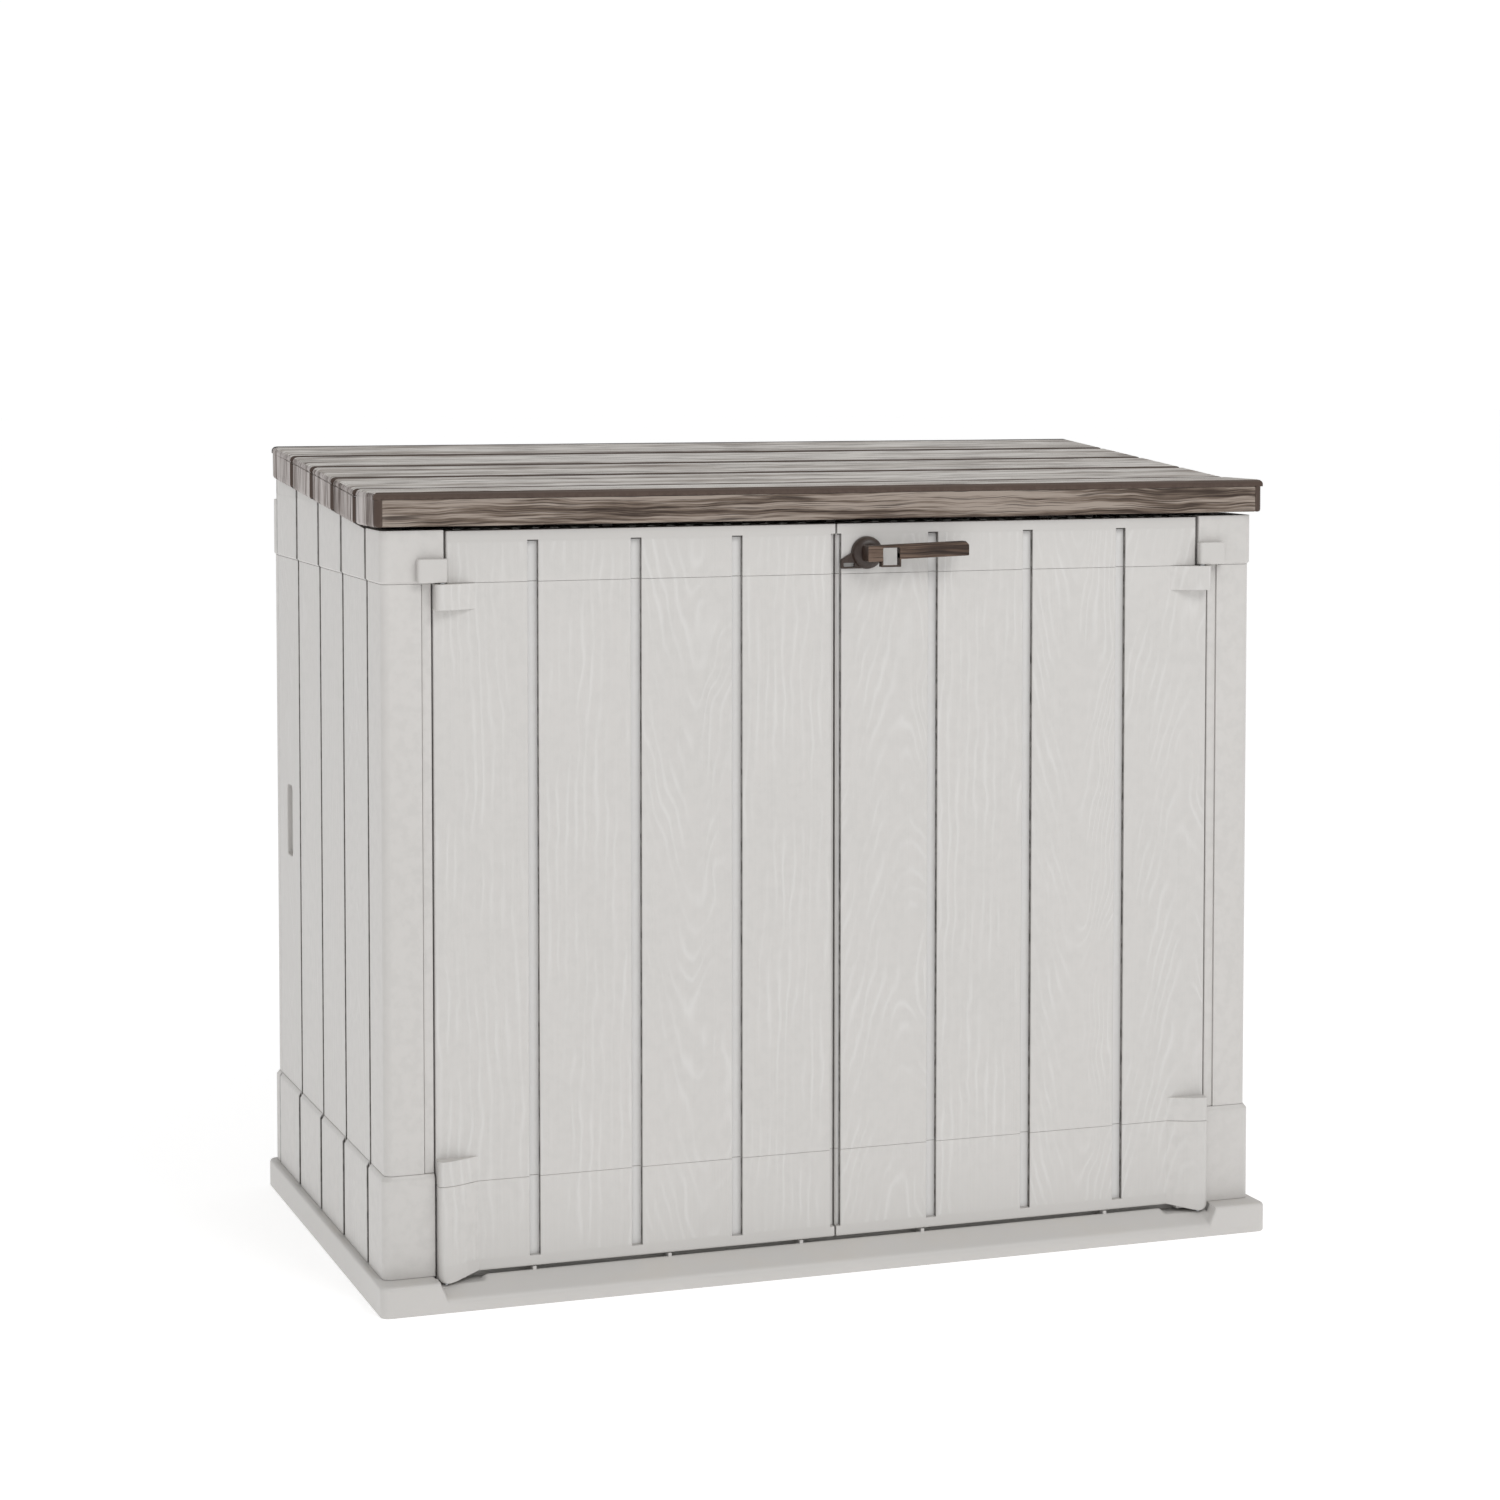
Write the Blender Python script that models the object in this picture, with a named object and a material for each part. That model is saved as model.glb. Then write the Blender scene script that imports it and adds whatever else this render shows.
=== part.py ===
"""Deck storage box: a two-door cupboard on a plinth, with a sloping plank lid and a lever handle.

Metres, +Z up, +X to the right when facing the doors, +Y to the back.
The origin is on the ground at the middle of the plinth.
"""

import math

import bmesh
import bpy
from mathutils import Vector

# Driving dimensions
overall_width = 1.295
overall_depth = 0.745
lid_front_height = 1.078  # top of the lid's front edge
lid_back_height = 1.120  # top of the lid's back edge
gap = 0.0003  # between pieces that touch

# Plinth
plinth_height = 0.041
plinth_corner_radius = 0.012
plinth_skin = 0.006
plinth_rib = 0.008
plinth_columns = 8
plinth_rows = 4
plinth_margin = 0.030  # solid border around the pockets underneath
floor_top = 0.018
tray_margin = 0.010  # between the walls' inner faces and the tray
ramp_front_height = 0.016
ramp_back_height = 0.0365  # from the doors' face to the sill
sill_height = 0.060
sill_thickness = 0.010

# Body
side_inset = 0.0145  # from the plinth's side to the wall's outer face
door_setback = 0.0375  # from the plinth's front to the doors' front face
rear_inset = 0.0095
wall_thickness = 0.016
lower_seam = 0.178
upper_seam = 0.957
lower_proud = 0.004  # how far the lower layer stands out from the middle one
upper_proud = 0.002
post_face = 0.0665  # width of a front post on the front
upper_post_face = 0.0825
post_return = 0.085  # width of a front post on the side
post_corner_radius = 0.011
jamb_strip = 0.0125
jamb_step = 0.002
rear_return = 0.026
side_planks = 4
rear_planks = 8
wall_groove_width = 0.010
wall_groove_depth = 0.005
hand_slot_width = 0.038
hand_slot_height = 0.104
hand_slot_depth = 0.009
hand_slot_middle = 0.569
hand_slot_radius = 0.008
wall_top_clearance = 0.005  # between the walls and the lid

# Doors
door_thickness = 0.018
door_bottom = 0.042
door_top = 1.0255
door_lower_seam = 0.1625
door_gap = 0.003
door_planks = 4
door_plank_width = 0.143  # the plank beside the hinges takes what is left
door_groove_width = 0.015
door_groove_depth = 0.008
door_groove_end = 0.0135  # plain border above and below the grooves
door_side_gap = 0.002  # between a door's edge and the post beside it
upper_door_edge = 0.0175  # how much further in the door's edge is above the upper seam

# Door hinges
hinge_inset = 0.011  # from the door's edge to the hinge axis
hinge_proud = 0.0075  # from the door's face out to the hinge axis
knuckle_length = 0.047
upper_knuckle_height = 0.0345
lower_knuckle_top = 0.196
knuckle_swing_clearance = 0.008
knuckle_floor_clearance = 0.003
knuckle_drop = 0.0085  # how far the lower knuckle reaches below the door
pin_radius = 0.0035
pin_clearance = 0.0003
upper_pin_length = 0.052
lower_pin_length = 0.070
housing_width = 0.040
housing_height = 0.033
housing_proud = 0.014
housing_inboard = 0.006  # how far it reaches past the axis, over the door
housing_clearance = 0.0015  # above the knuckle
pin_socket_floor = 0.013  # bottom of the lower pin's hole in the plinth

# Lid
lid_overhang_front = 0.012  # past the doors' face
lid_back_setback = 0.0605  # from the plinth's back to the lid's back edge
lid_panel_thickness = 0.010
lid_board_height = 0.036
lid_board_thickness = 0.012
lid_side_inset = 0.001
lid_nose = 0.119  # the front plank is level, and the planks behind it slope
lid_slope_planks = 4
lid_groove_width = 0.006
lid_groove_depth = 0.004
lid_edge_radius = 0.004
lid_rib_width = 0.014
lid_rib_height = 0.024
lid_rib_spacing = 0.320

# Lid hinge
lid_axis_behind = 0.026  # from the lid's back edge to the axis
lid_axis_below = 0.032  # from the top of the lid's back edge to the axis
lid_pin_radius = 0.004
lid_knuckle_radius = 0.0085
lid_knuckle_width = 0.030
lid_hinge_spacing = 0.420
ear_thickness = 0.006
ear_clearance = 0.0005
ear_above_axis = 0.009
bracket_foot = 0.004
bracket_depth = 0.018

# Rails
rail_depth = 0.020
rail_height = 0.030
rail_lip_height = 0.018
rail_setback = 0.0155  # from the lip that the doors close against to the rail behind it
door_stop_gap = 0.0035
rear_rail_drop = 0.048  # from the lid's axis to the bottom of the rail
rear_rail_height = 0.030
rear_rail_depth = 0.030

# Handle
handle_x = 0.0435
handle_height = 0.9855
rosette_radius = 0.0225
rosette_height = 0.0145
spindle_width = 0.008
spindle_clearance = 0.0006
boss_width = 0.022
grip_end = 0.138  # from the axis to the grip's end
grip_thickness = 0.012
grip_height = 0.020
grip_inset = 0.0008  # from the plinth's front to the grip's face
grip_below = 0.009  # from the axis down to the grip's lower face
grip_end_bevel = 0.005
spindle_socket = 0.006  # from the grip's face to the spindle's end
grip_rise = 0.004  # how much higher the grip is at its end
loop_width = 0.0285
loop_drop = 0.0185  # from the axis to the bottom of the padlock loop
loop_frame = 0.0022
cam_width = 0.018
cam_reach = 0.060
cam_thickness = 0.004
cam_standoff = 0.0085  # from the door's back to the cam, which clears the keeper
plate_thickness = 0.003
plate_height = 0.058
plate_width = 0.0406
plate_screw_spacing = 0.0278
plate_screw_drop = 0.016  # from the handle's axis down to the plate's screws
keeper_inner = 0.004  # from the middle of the doors to the keeper's near edge
keeper_width = 0.042
keeper_height = 0.022
keeper_thickness = 0.0065
keeper_recess = 0.003
keeper_bar = 0.020  # the full-thickness part, which the cam slides behind
keeper_screw_spacing = 0.012
screw_radius = 0.002
screw_length = 0.011
screw_head_radius = 0.004

# Worked out from the above
half_width = overall_width / 2
front_y = -overall_depth / 2
back_y = overall_depth / 2
body_half = half_width - side_inset
door_y = front_y + door_setback
door_inner_y = door_y + door_thickness
rear_y = back_y - rear_inset
side_seam_y = door_y + post_return
rear_seam_y = rear_y - rear_return
door_edge = body_half - post_face - door_side_gap
upper_post_edge = body_half - upper_post_face
upper_door_half = door_edge - upper_door_edge
ramp_half = door_edge + door_side_gap
hinge_x = door_edge - hinge_inset
hinge_y = door_y - hinge_proud
knuckle_radius = hinge_inset
lid_half = half_width - lid_side_inset
lid_front_y = door_y - lid_overhang_front
lid_back_y = back_y - lid_back_setback
lid_fold_y = lid_front_y + lid_nose
lid_slope = (lid_back_height - lid_front_height) / (lid_back_y - lid_fold_y)
lid_foot = lid_panel_thickness + lid_board_height
post_top = lid_front_height - lid_foot - wall_top_clearance
lid_axis_y = lid_back_y + lid_axis_behind
lid_axis_z = lid_back_height - lid_axis_below
rail_top = door_top
stop_y = door_inner_y + door_stop_gap
rail_y = stop_y + rail_setback
rear_rail_bottom = lid_axis_z - rear_rail_drop
rear_rail_top = rear_rail_bottom + rear_rail_height
backplate_y = door_inner_y + gap
cam_y = door_inner_y + cam_standoff
grip_front_y = front_y + grip_inset
rosette_top_y = door_y - rosette_height
spindle_hole_radius = spindle_width / math.sqrt(2) + spindle_clearance


def sloping_top(y):
    """Height at y, from front to back, of the plane of the lid's sloping planks."""
    return lid_front_height + lid_slope * (y - lid_fold_y)


def lid_top(y):
    """Height of the lid's upper face: level up to the fold, then sloping."""
    return max(lid_front_height, sloping_top(y))


def wall_top(y):
    return sloping_top(y) - lid_foot - wall_top_clearance


def material(name, colour, roughness, metallic=0.0):
    made = bpy.data.materials.new(name)
    made.use_nodes = True
    shader = made.node_tree.nodes["Principled BSDF"]
    shader.inputs["Base Color"].default_value = (*colour, 1.0)
    shader.inputs["Roughness"].default_value = roughness
    shader.inputs["Metallic"].default_value = metallic
    return made


def new_object(name, mesh, finish):
    mesh.materials.append(finish)
    made = bpy.data.objects.new(name, mesh)
    bpy.context.scene.collection.objects.link(made)
    return made


def prism(name, outline, axis, low, high, finish, top=None):
    """An outline pushed along an axis; `top` gives a sloping upper end as a height for each y."""
    place = {
        "X": lambda a, b, along: (along, a, b),
        "Y": lambda a, b, along: (a, along, b),
        "Z": lambda a, b, along: (a, b, along),
    }[axis]
    shape = bmesh.new()
    ends = []
    for along in (low, high):
        ring = []
        for a, b in outline:
            point = Vector(place(a, b, along))
            if top and along == high:
                point.z = top(point.y)
            ring.append(shape.verts.new(point))
        ends.append(ring)
        shape.faces.new(ring)
    count = len(outline)
    for i in range(count):
        j = (i + 1) % count
        shape.faces.new((ends[0][i], ends[0][j], ends[1][j], ends[1][i]))
    bmesh.ops.recalc_face_normals(shape, faces=shape.faces)
    mesh = bpy.data.meshes.new(name)
    shape.to_mesh(mesh)
    shape.free()
    return new_object(name, mesh, finish)


def rectangle(a0, b0, a1, b1):
    return [(a0, b0), (a1, b0), (a1, b1), (a0, b1)]


def block(name, low, high, finish):
    return prism(name, rectangle(low[0], low[1], high[0], high[1]), "Z", low[2], high[2], finish)


def turned(name, centre, axis, profile, finish, segments=24):
    """A turned piece: profile is (radius, distance along the axis), and closes on the axis."""
    along = {"X": Vector((1, 0, 0)), "Y": Vector((0, 1, 0)), "Z": Vector((0, 0, 1))}[axis]
    side = Vector((0, 0, 1)) if axis == "X" else Vector((1, 0, 0))
    other = along.cross(side)
    shape = bmesh.new()
    rings = []
    for radius, distance in profile:
        ring = []
        for i in range(segments):
            turn = 2 * math.pi * (i + 0.5) / segments
            out = side * math.cos(turn) + other * math.sin(turn)
            ring.append(shape.verts.new(Vector(centre) + along * distance + out * radius))
        rings.append(ring)
    for lower, upper in zip(rings, rings[1:]):
        for i in range(segments):
            j = (i + 1) % segments
            shape.faces.new((lower[i], lower[j], upper[j], upper[i]))
    shape.faces.new(rings[0])
    shape.faces.new(rings[-1])
    bmesh.ops.recalc_face_normals(shape, faces=shape.faces)
    mesh = bpy.data.meshes.new(name)
    shape.to_mesh(mesh)
    shape.free()
    mesh.shade_smooth()
    mesh.set_sharp_from_angle(angle=math.radians(35))
    return new_object(name, mesh, finish)


def rod(name, centre, axis, radius, low, high, finish, segments=16):
    return turned(name, centre, axis, [(radius, low), (radius, high)], finish, segments)


def combine(target, tool, operation):
    """A Boolean that stays on the target, with its tool hidden."""
    tool.name = f"{target.name}_{operation.lower()}_{len(target.modifiers)}"
    tool.hide_render = True
    tool.display_type = "WIRE"
    step = target.modifiers.new(operation.title(), "BOOLEAN")
    step.operation = operation
    step.object = tool
    step.solver = "EXACT"


def cut(target, tool):
    combine(target, tool, "DIFFERENCE")


def add(target, tool):
    combine(target, tool, "UNION")


def arc(centre, radius, start, end, steps):
    """Points on an arc, with both ends, in degrees."""
    points = []
    for i in range(steps + 1):
        turn = math.radians(start + (end - start) * i / steps)
        points.append((centre[0] + radius * math.cos(turn), centre[1] + radius * math.sin(turn)))
    return points


def mirrored(points, side):
    """Points given for the right-hand side, put on either side."""
    return [(side * a, b) for a, b in points]


def groove_points(start, end, planks, width, depth, face, into):
    """Corners of a grooved face that runs from start to end, as (along, face position)."""
    pitch = (end - start) / planks
    points = []
    half = math.copysign(width / 2, pitch)
    for i in range(1, planks):
        middle = start + i * pitch
        points += [(middle - half, face), (middle - half, face + into * depth)]
        points += [(middle + half, face + into * depth), (middle + half, face)]
    return points


def rounded_outline(half_x, half_y, radius, steps=3):
    points = []
    for sx, sy, start in ((1, 1, 0), (-1, 1, 90), (-1, -1, 180), (1, -1, 270)):
        centre = (sx * (half_x - radius), sy * (half_y - radius))
        points += arc(centre, radius, start, start + 90, steps)
    return points


def make_plinth(finish):
    plinth = prism(
        "base_plinth",
        rounded_outline(half_width, overall_depth / 2, plinth_corner_radius),
        "Z", 0, plinth_height, finish,
    )
    # The tray inside the walls and behind the sill
    tray_half = body_half - wall_thickness - tray_margin
    tray_front = stop_y + sill_thickness
    tray_back = rear_y - wall_thickness - tray_margin
    cut(plinth, block("tray", (-tray_half, tray_front, floor_top), (tray_half, tray_back, 0.2), finish))
    # The ramp in front of the doors, between the corner pads
    ramp = [
        (front_y - 0.02, ramp_front_height - 0.006),
        (front_y, ramp_front_height),
        (door_y, ramp_back_height),
        (stop_y, ramp_back_height),
        (stop_y, 0.2),
        (front_y - 0.02, 0.2),
    ]
    cut(plinth, prism("ramp", ramp, "X", -ramp_half, ramp_half, finish))
    # The sill that the doors close against
    sill = block(
        "sill", (-ramp_half, stop_y, plinth_height - 0.02),
        (ramp_half, stop_y + sill_thickness, sill_height), finish,
    )
    add(plinth, sill)
    # Pockets underneath leave ribs, with one on each centre line
    pitch_x = (overall_width - 2 * plinth_margin) / plinth_columns
    pitch_y = (overall_depth - 2 * plinth_margin) / plinth_rows
    half_rib = plinth_rib / 2
    top = ramp_front_height - plinth_skin
    pockets = []
    for column in range(plinth_columns):
        for row in range(plinth_rows):
            x = -half_width + plinth_margin + column * pitch_x
            y = front_y + plinth_margin + row * pitch_y
            low = (x + half_rib, y + half_rib, -0.01)
            high = (x + pitch_x - half_rib, y + pitch_y - half_rib, top)
            pockets.append(block("pocket", low, high, finish))
    cut(plinth, joined("pockets", pockets, finish))
    return plinth


def joined(name, pieces, finish):
    """Plain cutters that don't touch, made into one, so that a single Boolean cuts them all."""
    shape = bmesh.new()
    for piece in pieces:
        shape.from_mesh(piece.data)
        bpy.data.objects.remove(piece)
    mesh = bpy.data.meshes.new(name)
    shape.to_mesh(mesh)
    shape.free()
    return new_object(name, mesh, finish)


def layers():
    """The three stacked layers of the body: name, bottom, top, how far it stands proud."""
    return [
        ("lower", plinth_height + gap, lower_seam - gap, lower_proud),
        ("middle", lower_seam, upper_seam - gap, 0.0),
        ("upper", upper_seam, None, upper_proud),
    ]


def make_side_wall(side, word, finish):
    made = []
    for layer, bottom, top, proud in layers():
        outer = body_half + proud
        inner = body_half - wall_thickness
        start = side_seam_y + gap
        end = rear_seam_y - gap
        grooves = groove_points(
            start, end, side_planks, wall_groove_width, wall_groove_depth + proud, outer, -1
        )
        outline = [(inner, start), (outer, start)]
        outline += [(x, y) for y, x in grooves]
        outline += [(outer, end), (inner, end)]
        wall = prism(
            f"{word}_wall_{layer}", mirrored(outline, side), "Z", bottom, top or 1, finish,
            None if top else wall_top,
        )
        if layer == "middle":
            middle = rear_seam_y - (rear_seam_y - side_seam_y) / side_planks / 2
            low = sorted((side * (outer - hand_slot_depth), side * (outer + 0.01)))
            slot = rounded_slot(low, middle, finish)
            cut(wall, slot)
        made.append(wall)
    return made


def rounded_slot(x_range, middle, finish):
    """The upright hand slot's cutter, with rounded corners."""
    half_y = hand_slot_width / 2
    half_z = hand_slot_height / 2
    corners = rounded_outline(half_y, half_z, hand_slot_radius, 2)
    outline = [(middle + a, hand_slot_middle + b) for a, b in corners]
    return prism("slot", outline, "X", x_range[0], x_range[1], finish)


def make_front_post(side, word, finish):
    made = []
    for layer, bottom, top, proud in layers():
        outer = body_half + proud
        face = door_y - proud
        inner = body_half - wall_thickness
        back = door_y + wall_thickness
        edge = upper_post_edge if layer == "upper" else body_half - post_face
        corner = arc(
            (outer - post_corner_radius, face + post_corner_radius), post_corner_radius, 0, -90, 4
        )
        outline = [(inner, side_seam_y - gap), (outer, side_seam_y - gap)] + corner
        if layer == "middle":
            strip = edge + jamb_strip
            outline += [(strip, face), (strip, face + jamb_step), (edge, face + jamb_step)]
        else:
            outline += [(edge, face)]
        outline += [(edge, back), (inner, back)]
        made.append(
            prism(
                f"front_post_{word}_{layer}", mirrored(outline, side), "Z", bottom, top or post_top,
                finish,
            )
        )
    return made


def make_rear_wall(finish):
    made = []
    for layer, bottom, top, proud in layers():
        outer = body_half + proud
        face = rear_y + proud
        inner_x = body_half - wall_thickness
        inner_y = rear_y - wall_thickness
        radius = post_corner_radius
        outline = [(inner_x, rear_seam_y), (outer, rear_seam_y)]
        outline += arc((outer - radius, face - radius), radius, 0, 90, 4)
        outline += groove_points(
            body_half, -body_half, rear_planks, wall_groove_width,
            wall_groove_depth + proud, face, -1,
        )
        outline += arc((radius - outer, face - radius), radius, 90, 180, 4)
        outline += [(-outer, rear_seam_y), (-inner_x, rear_seam_y)]
        outline += [(-inner_x, inner_y), (inner_x, inner_y)]
        height = top or rear_rail_bottom - gap
        made.append(prism(f"rear_wall_{layer}", outline, "Z", bottom, height, finish))
    return made


def make_front_rail(finish):
    half = body_half - wall_thickness - gap
    outline = [
        (rail_y, rail_top - rail_height),
        (rail_y + rail_depth, rail_top - rail_height),
        (rail_y + rail_depth, rail_top),
        (stop_y, rail_top),
        (stop_y, rail_top - rail_lip_height),
        (rail_y, rail_top - rail_lip_height),
    ]
    return prism("front_top_rail", outline, "X", -half, half, finish)


def make_rear_rail(finish):
    half = body_half - wall_thickness - gap
    low = (-half, rear_y - rear_rail_depth, rear_rail_bottom)
    return block("rear_hinge_rail", low, (half, rear_y, rear_rail_top), finish)


def knuckle_outline():
    """The hinge knuckle's outline for a right-hand door: a round nose that fades into the face."""
    nose = arc((hinge_x, hinge_y), knuckle_radius, 0, -100, 6)
    inboard = (hinge_x - knuckle_length, door_y + 0.0004)
    return [(door_edge, door_y + 0.004)] + nose + [inboard, (inboard[0], door_y + 0.004)]


def door_slab(name, side, edge, bottom, top, groove_low, groove_high, finish):
    """One section of a door, with the grooves cut in its face between the two given heights."""
    near = door_gap / 2
    outline = mirrored(rectangle(near, door_y, edge, door_inner_y), side)
    slab = prism(name, outline, "Z", bottom, top, finish)
    pitch = door_plank_width
    half = door_groove_width / 2
    grooves = []
    for i in range(door_planks):
        start = near - 0.01 if i == 0 else i * pitch - half
        across = rectangle(start, door_y - 0.01, i * pitch + half, door_y + door_groove_depth)
        grooves.append(prism("groove", mirrored(across, side), "Z", groove_low, groove_high, finish))
    cut(slab, joined("grooves", grooves, finish))
    return slab


def make_door(side, word, finish):
    name = f"door_{word}"
    past = 0.01
    lower = door_slab(
        f"{name}_lower", side, door_edge, door_bottom, door_lower_seam - gap,
        door_bottom + door_groove_end, door_lower_seam + past, finish,
    )
    middle = door_slab(
        f"{name}_middle", side, door_edge, door_lower_seam, upper_seam - gap,
        door_lower_seam - past, upper_seam + past, finish,
    )
    upper = door_slab(
        f"{name}_upper", side, upper_door_half, upper_seam, door_top,
        upper_seam - past, door_top - door_groove_end, finish,
    )
    outline = mirrored(knuckle_outline(), side)
    corner_bottom = door_bottom - knuckle_drop
    add(lower, prism("knuckle", outline, "Z", corner_bottom, door_lower_seam - gap, finish))
    corner = mirrored(rectangle(hinge_x - 0.030, door_y, door_edge, door_inner_y), side)
    add(lower, prism("corner", corner, "Z", corner_bottom, door_bottom + 0.02, finish))
    add(middle, prism("knuckle", outline, "Z", door_lower_seam, lower_knuckle_top, finish))
    knuckle_bottom = upper_seam - upper_knuckle_height
    add(middle, prism("knuckle", outline, "Z", knuckle_bottom, upper_seam - gap, finish))
    at = (side * hinge_x, hinge_y, 0)
    hole = pin_radius + pin_clearance
    cut(lower, rod("bore", at, "Z", hole, 0, ramp_back_height + lower_pin_length, finish))
    cut(middle, rod("bore", at, "Z", hole, upper_seam - upper_pin_length / 2 - gap, 1, finish))
    return lower, middle, upper


def make_door_hinges(side, word, plinth, post, plastic, metal):
    at = (side * hinge_x, hinge_y, 0)
    hole = pin_radius + pin_clearance
    # The knuckle's nose turns in a round recess, and the door's low corner in one in the ramp
    floor = door_bottom - knuckle_drop - knuckle_floor_clearance
    nose = knuckle_radius + knuckle_floor_clearance
    cut(plinth, rod("nose_swing", at, "Z", nose, floor, 0.2, plastic, 24))
    swing = knuckle_length + knuckle_swing_clearance
    reach = math.degrees(math.asin((stop_y - hinge_y) / swing))
    corner = [(ramp_half, hinge_y), (ramp_half, stop_y)]
    corner += arc((hinge_x, hinge_y), swing, 180 - reach, 273, 10)
    cut(plinth, prism("corner_swing", mirrored(corner, side), "Z", floor, 0.2, plastic))
    inner = hinge_x - housing_inboard
    low = (inner, door_y - housing_proud, upper_seam + housing_clearance)
    high = (inner + housing_width, door_y - upper_proud - gap, upper_seam + housing_height)
    outline = mirrored(rectangle(low[0], low[1], high[0], high[1]), side)
    housing = prism(f"hinge_housing_{word}", outline, "Z", low[2], high[2], plastic)
    cut(housing, rod("bore", at, "Z", hole, 0.9, upper_seam + upper_pin_length / 2, plastic))
    cut(post, rod("bore", at, "Z", hole + 0.004, 0.9, upper_seam + upper_pin_length / 2 + 0.002, plastic))
    upper = rod(
        f"upper_hinge_pin_{word}", at, "Z", pin_radius,
        upper_seam - upper_pin_length / 2, upper_seam + upper_pin_length / 2 - gap, metal,
    )
    cut(plinth, rod("bore", at, "Z", hole, pin_socket_floor, 0.2, plastic))
    lower = rod(
        f"lower_hinge_pin_{word}", at, "Z", pin_radius,
        pin_socket_floor + gap, ramp_back_height + lower_pin_length - 0.002, metal,
    )
    return housing, upper, lower


def make_lid(wood, plastic):
    outline = [(y, lid_top(y) - lid_panel_thickness) for y in (lid_back_y, lid_fold_y, lid_front_y)]
    radius = lid_edge_radius
    outline += [(lid_front_y, lid_front_height - radius), (lid_front_y + radius, lid_front_height)]
    pitch = (lid_back_y - lid_fold_y) / lid_slope_planks
    for i in range(lid_slope_planks):
        middle = lid_fold_y + i * pitch
        outline += [(middle - lid_groove_width / 2, lid_top(middle - lid_groove_width / 2))]
        outline += [(middle, lid_top(middle) - lid_groove_depth)]
        outline += [(middle + lid_groove_width / 2, lid_top(middle + lid_groove_width / 2))]
    outline += [(lid_back_y - radius, lid_top(lid_back_y - radius))]
    outline += [(lid_back_y, lid_top(lid_back_y) - radius)]
    made = [prism("lid_top_panel", outline, "X", -lid_half, lid_half, wood)]

    def strip(y0, y1, drop0, drop1):
        """A bar's outline under the panel, between two depths below the lid's upper face."""
        stations = [y0, lid_fold_y, y1] if y0 < lid_fold_y < y1 else [y0, y1]
        low = [(y, lid_top(y) - drop1) for y in stations]
        return low + [(y, lid_top(y) - drop0) for y in reversed(stations)]

    under = lid_panel_thickness + gap
    foot = lid_foot
    inner = lid_half - lid_board_thickness
    for side, word in ((-1, "left"), (1, "right")):
        low, high = sorted((side * inner, side * lid_half))
        outline = strip(lid_front_y, lid_back_y, under, foot)
        made.append(prism(f"lid_end_board_{word}", outline, "X", low, high, wood))
    front = strip(lid_front_y, lid_front_y + lid_board_thickness, under, foot)
    made.append(prism("lid_front_board", front, "X", gap - inner, inner - gap, wood))
    back = strip(lid_back_y - lid_board_thickness, lid_back_y, under, foot)
    made.append(prism("lid_rear_board", back, "X", gap - inner, inner - gap, wood))
    # Each rib stands on the front rail when the lid is shut
    rib_front = lid_front_y + lid_board_thickness + gap
    rib_back = lid_back_y - lid_board_thickness - gap
    rest_back = rail_y + rail_depth
    drop = under + lid_rib_height
    rib = [
        (rib_front, lid_top(rib_front) - under),
        (rib_front, lid_top(rib_front) - drop),
        (stop_y, lid_top(stop_y) - drop),
        (stop_y, rail_top + gap),
        (rest_back, rail_top + gap),
        (rest_back, lid_top(rest_back) - drop),
        (lid_fold_y, lid_front_height - drop),
        (rib_back, lid_top(rib_back) - drop),
        (rib_back, lid_top(rib_back) - under),
        (lid_fold_y, lid_front_height - under),
    ]
    for i, word in ((-1, "left"), (0, "centre"), (1, "right")):
        middle = i * lid_rib_spacing
        low = middle - lid_rib_width / 2
        made.append(prism(f"lid_rib_{word}", rib, "X", low, low + lid_rib_width, plastic))
    return made


def make_lid_hinge(x, word, plastic, metal):
    """A bracket with two ears on the rail, a pin, and the knuckle that the lid hangs on."""
    at = (x, lid_axis_y, lid_axis_z)
    hole = lid_pin_radius + pin_clearance
    inner = lid_knuckle_width / 2 + ear_clearance
    outer = inner + ear_thickness
    base = rear_rail_top + gap
    top = lid_axis_z + ear_above_axis
    shoulder = base + bracket_foot
    outline = [
        (x - outer, base), (x + outer, base), (x + outer, top), (x + inner, top),
        (x + inner, shoulder), (x - inner, shoulder), (x - inner, top), (x - outer, top),
    ]
    depth = bracket_depth / 2
    bracket = prism(
        f"lid_hinge_bracket_{word}", outline, "Y", lid_axis_y - depth, lid_axis_y + depth, plastic
    )
    cut(bracket, rod("bore", at, "X", hole, -0.05, 0.05, plastic))
    pin = rod(f"lid_hinge_pin_{word}", at, "X", lid_pin_radius, -outer, outer, metal)
    half = lid_knuckle_width / 2
    start = lid_back_y + gap
    arm_top = lid_axis_z + lid_knuckle_radius
    around = arc((lid_axis_y, lid_axis_z), lid_knuckle_radius, 90, -90, 8)
    arm = [(start, lid_axis_z - lid_knuckle_radius), (start, arm_top)] + around
    knuckle = prism(f"lid_hinge_knuckle_{word}", arm, "X", x - half, x + half, plastic)
    cut(knuckle, rod("bore", at, "X", hole, -0.05, 0.05, plastic))
    return bracket, pin, knuckle


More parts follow.
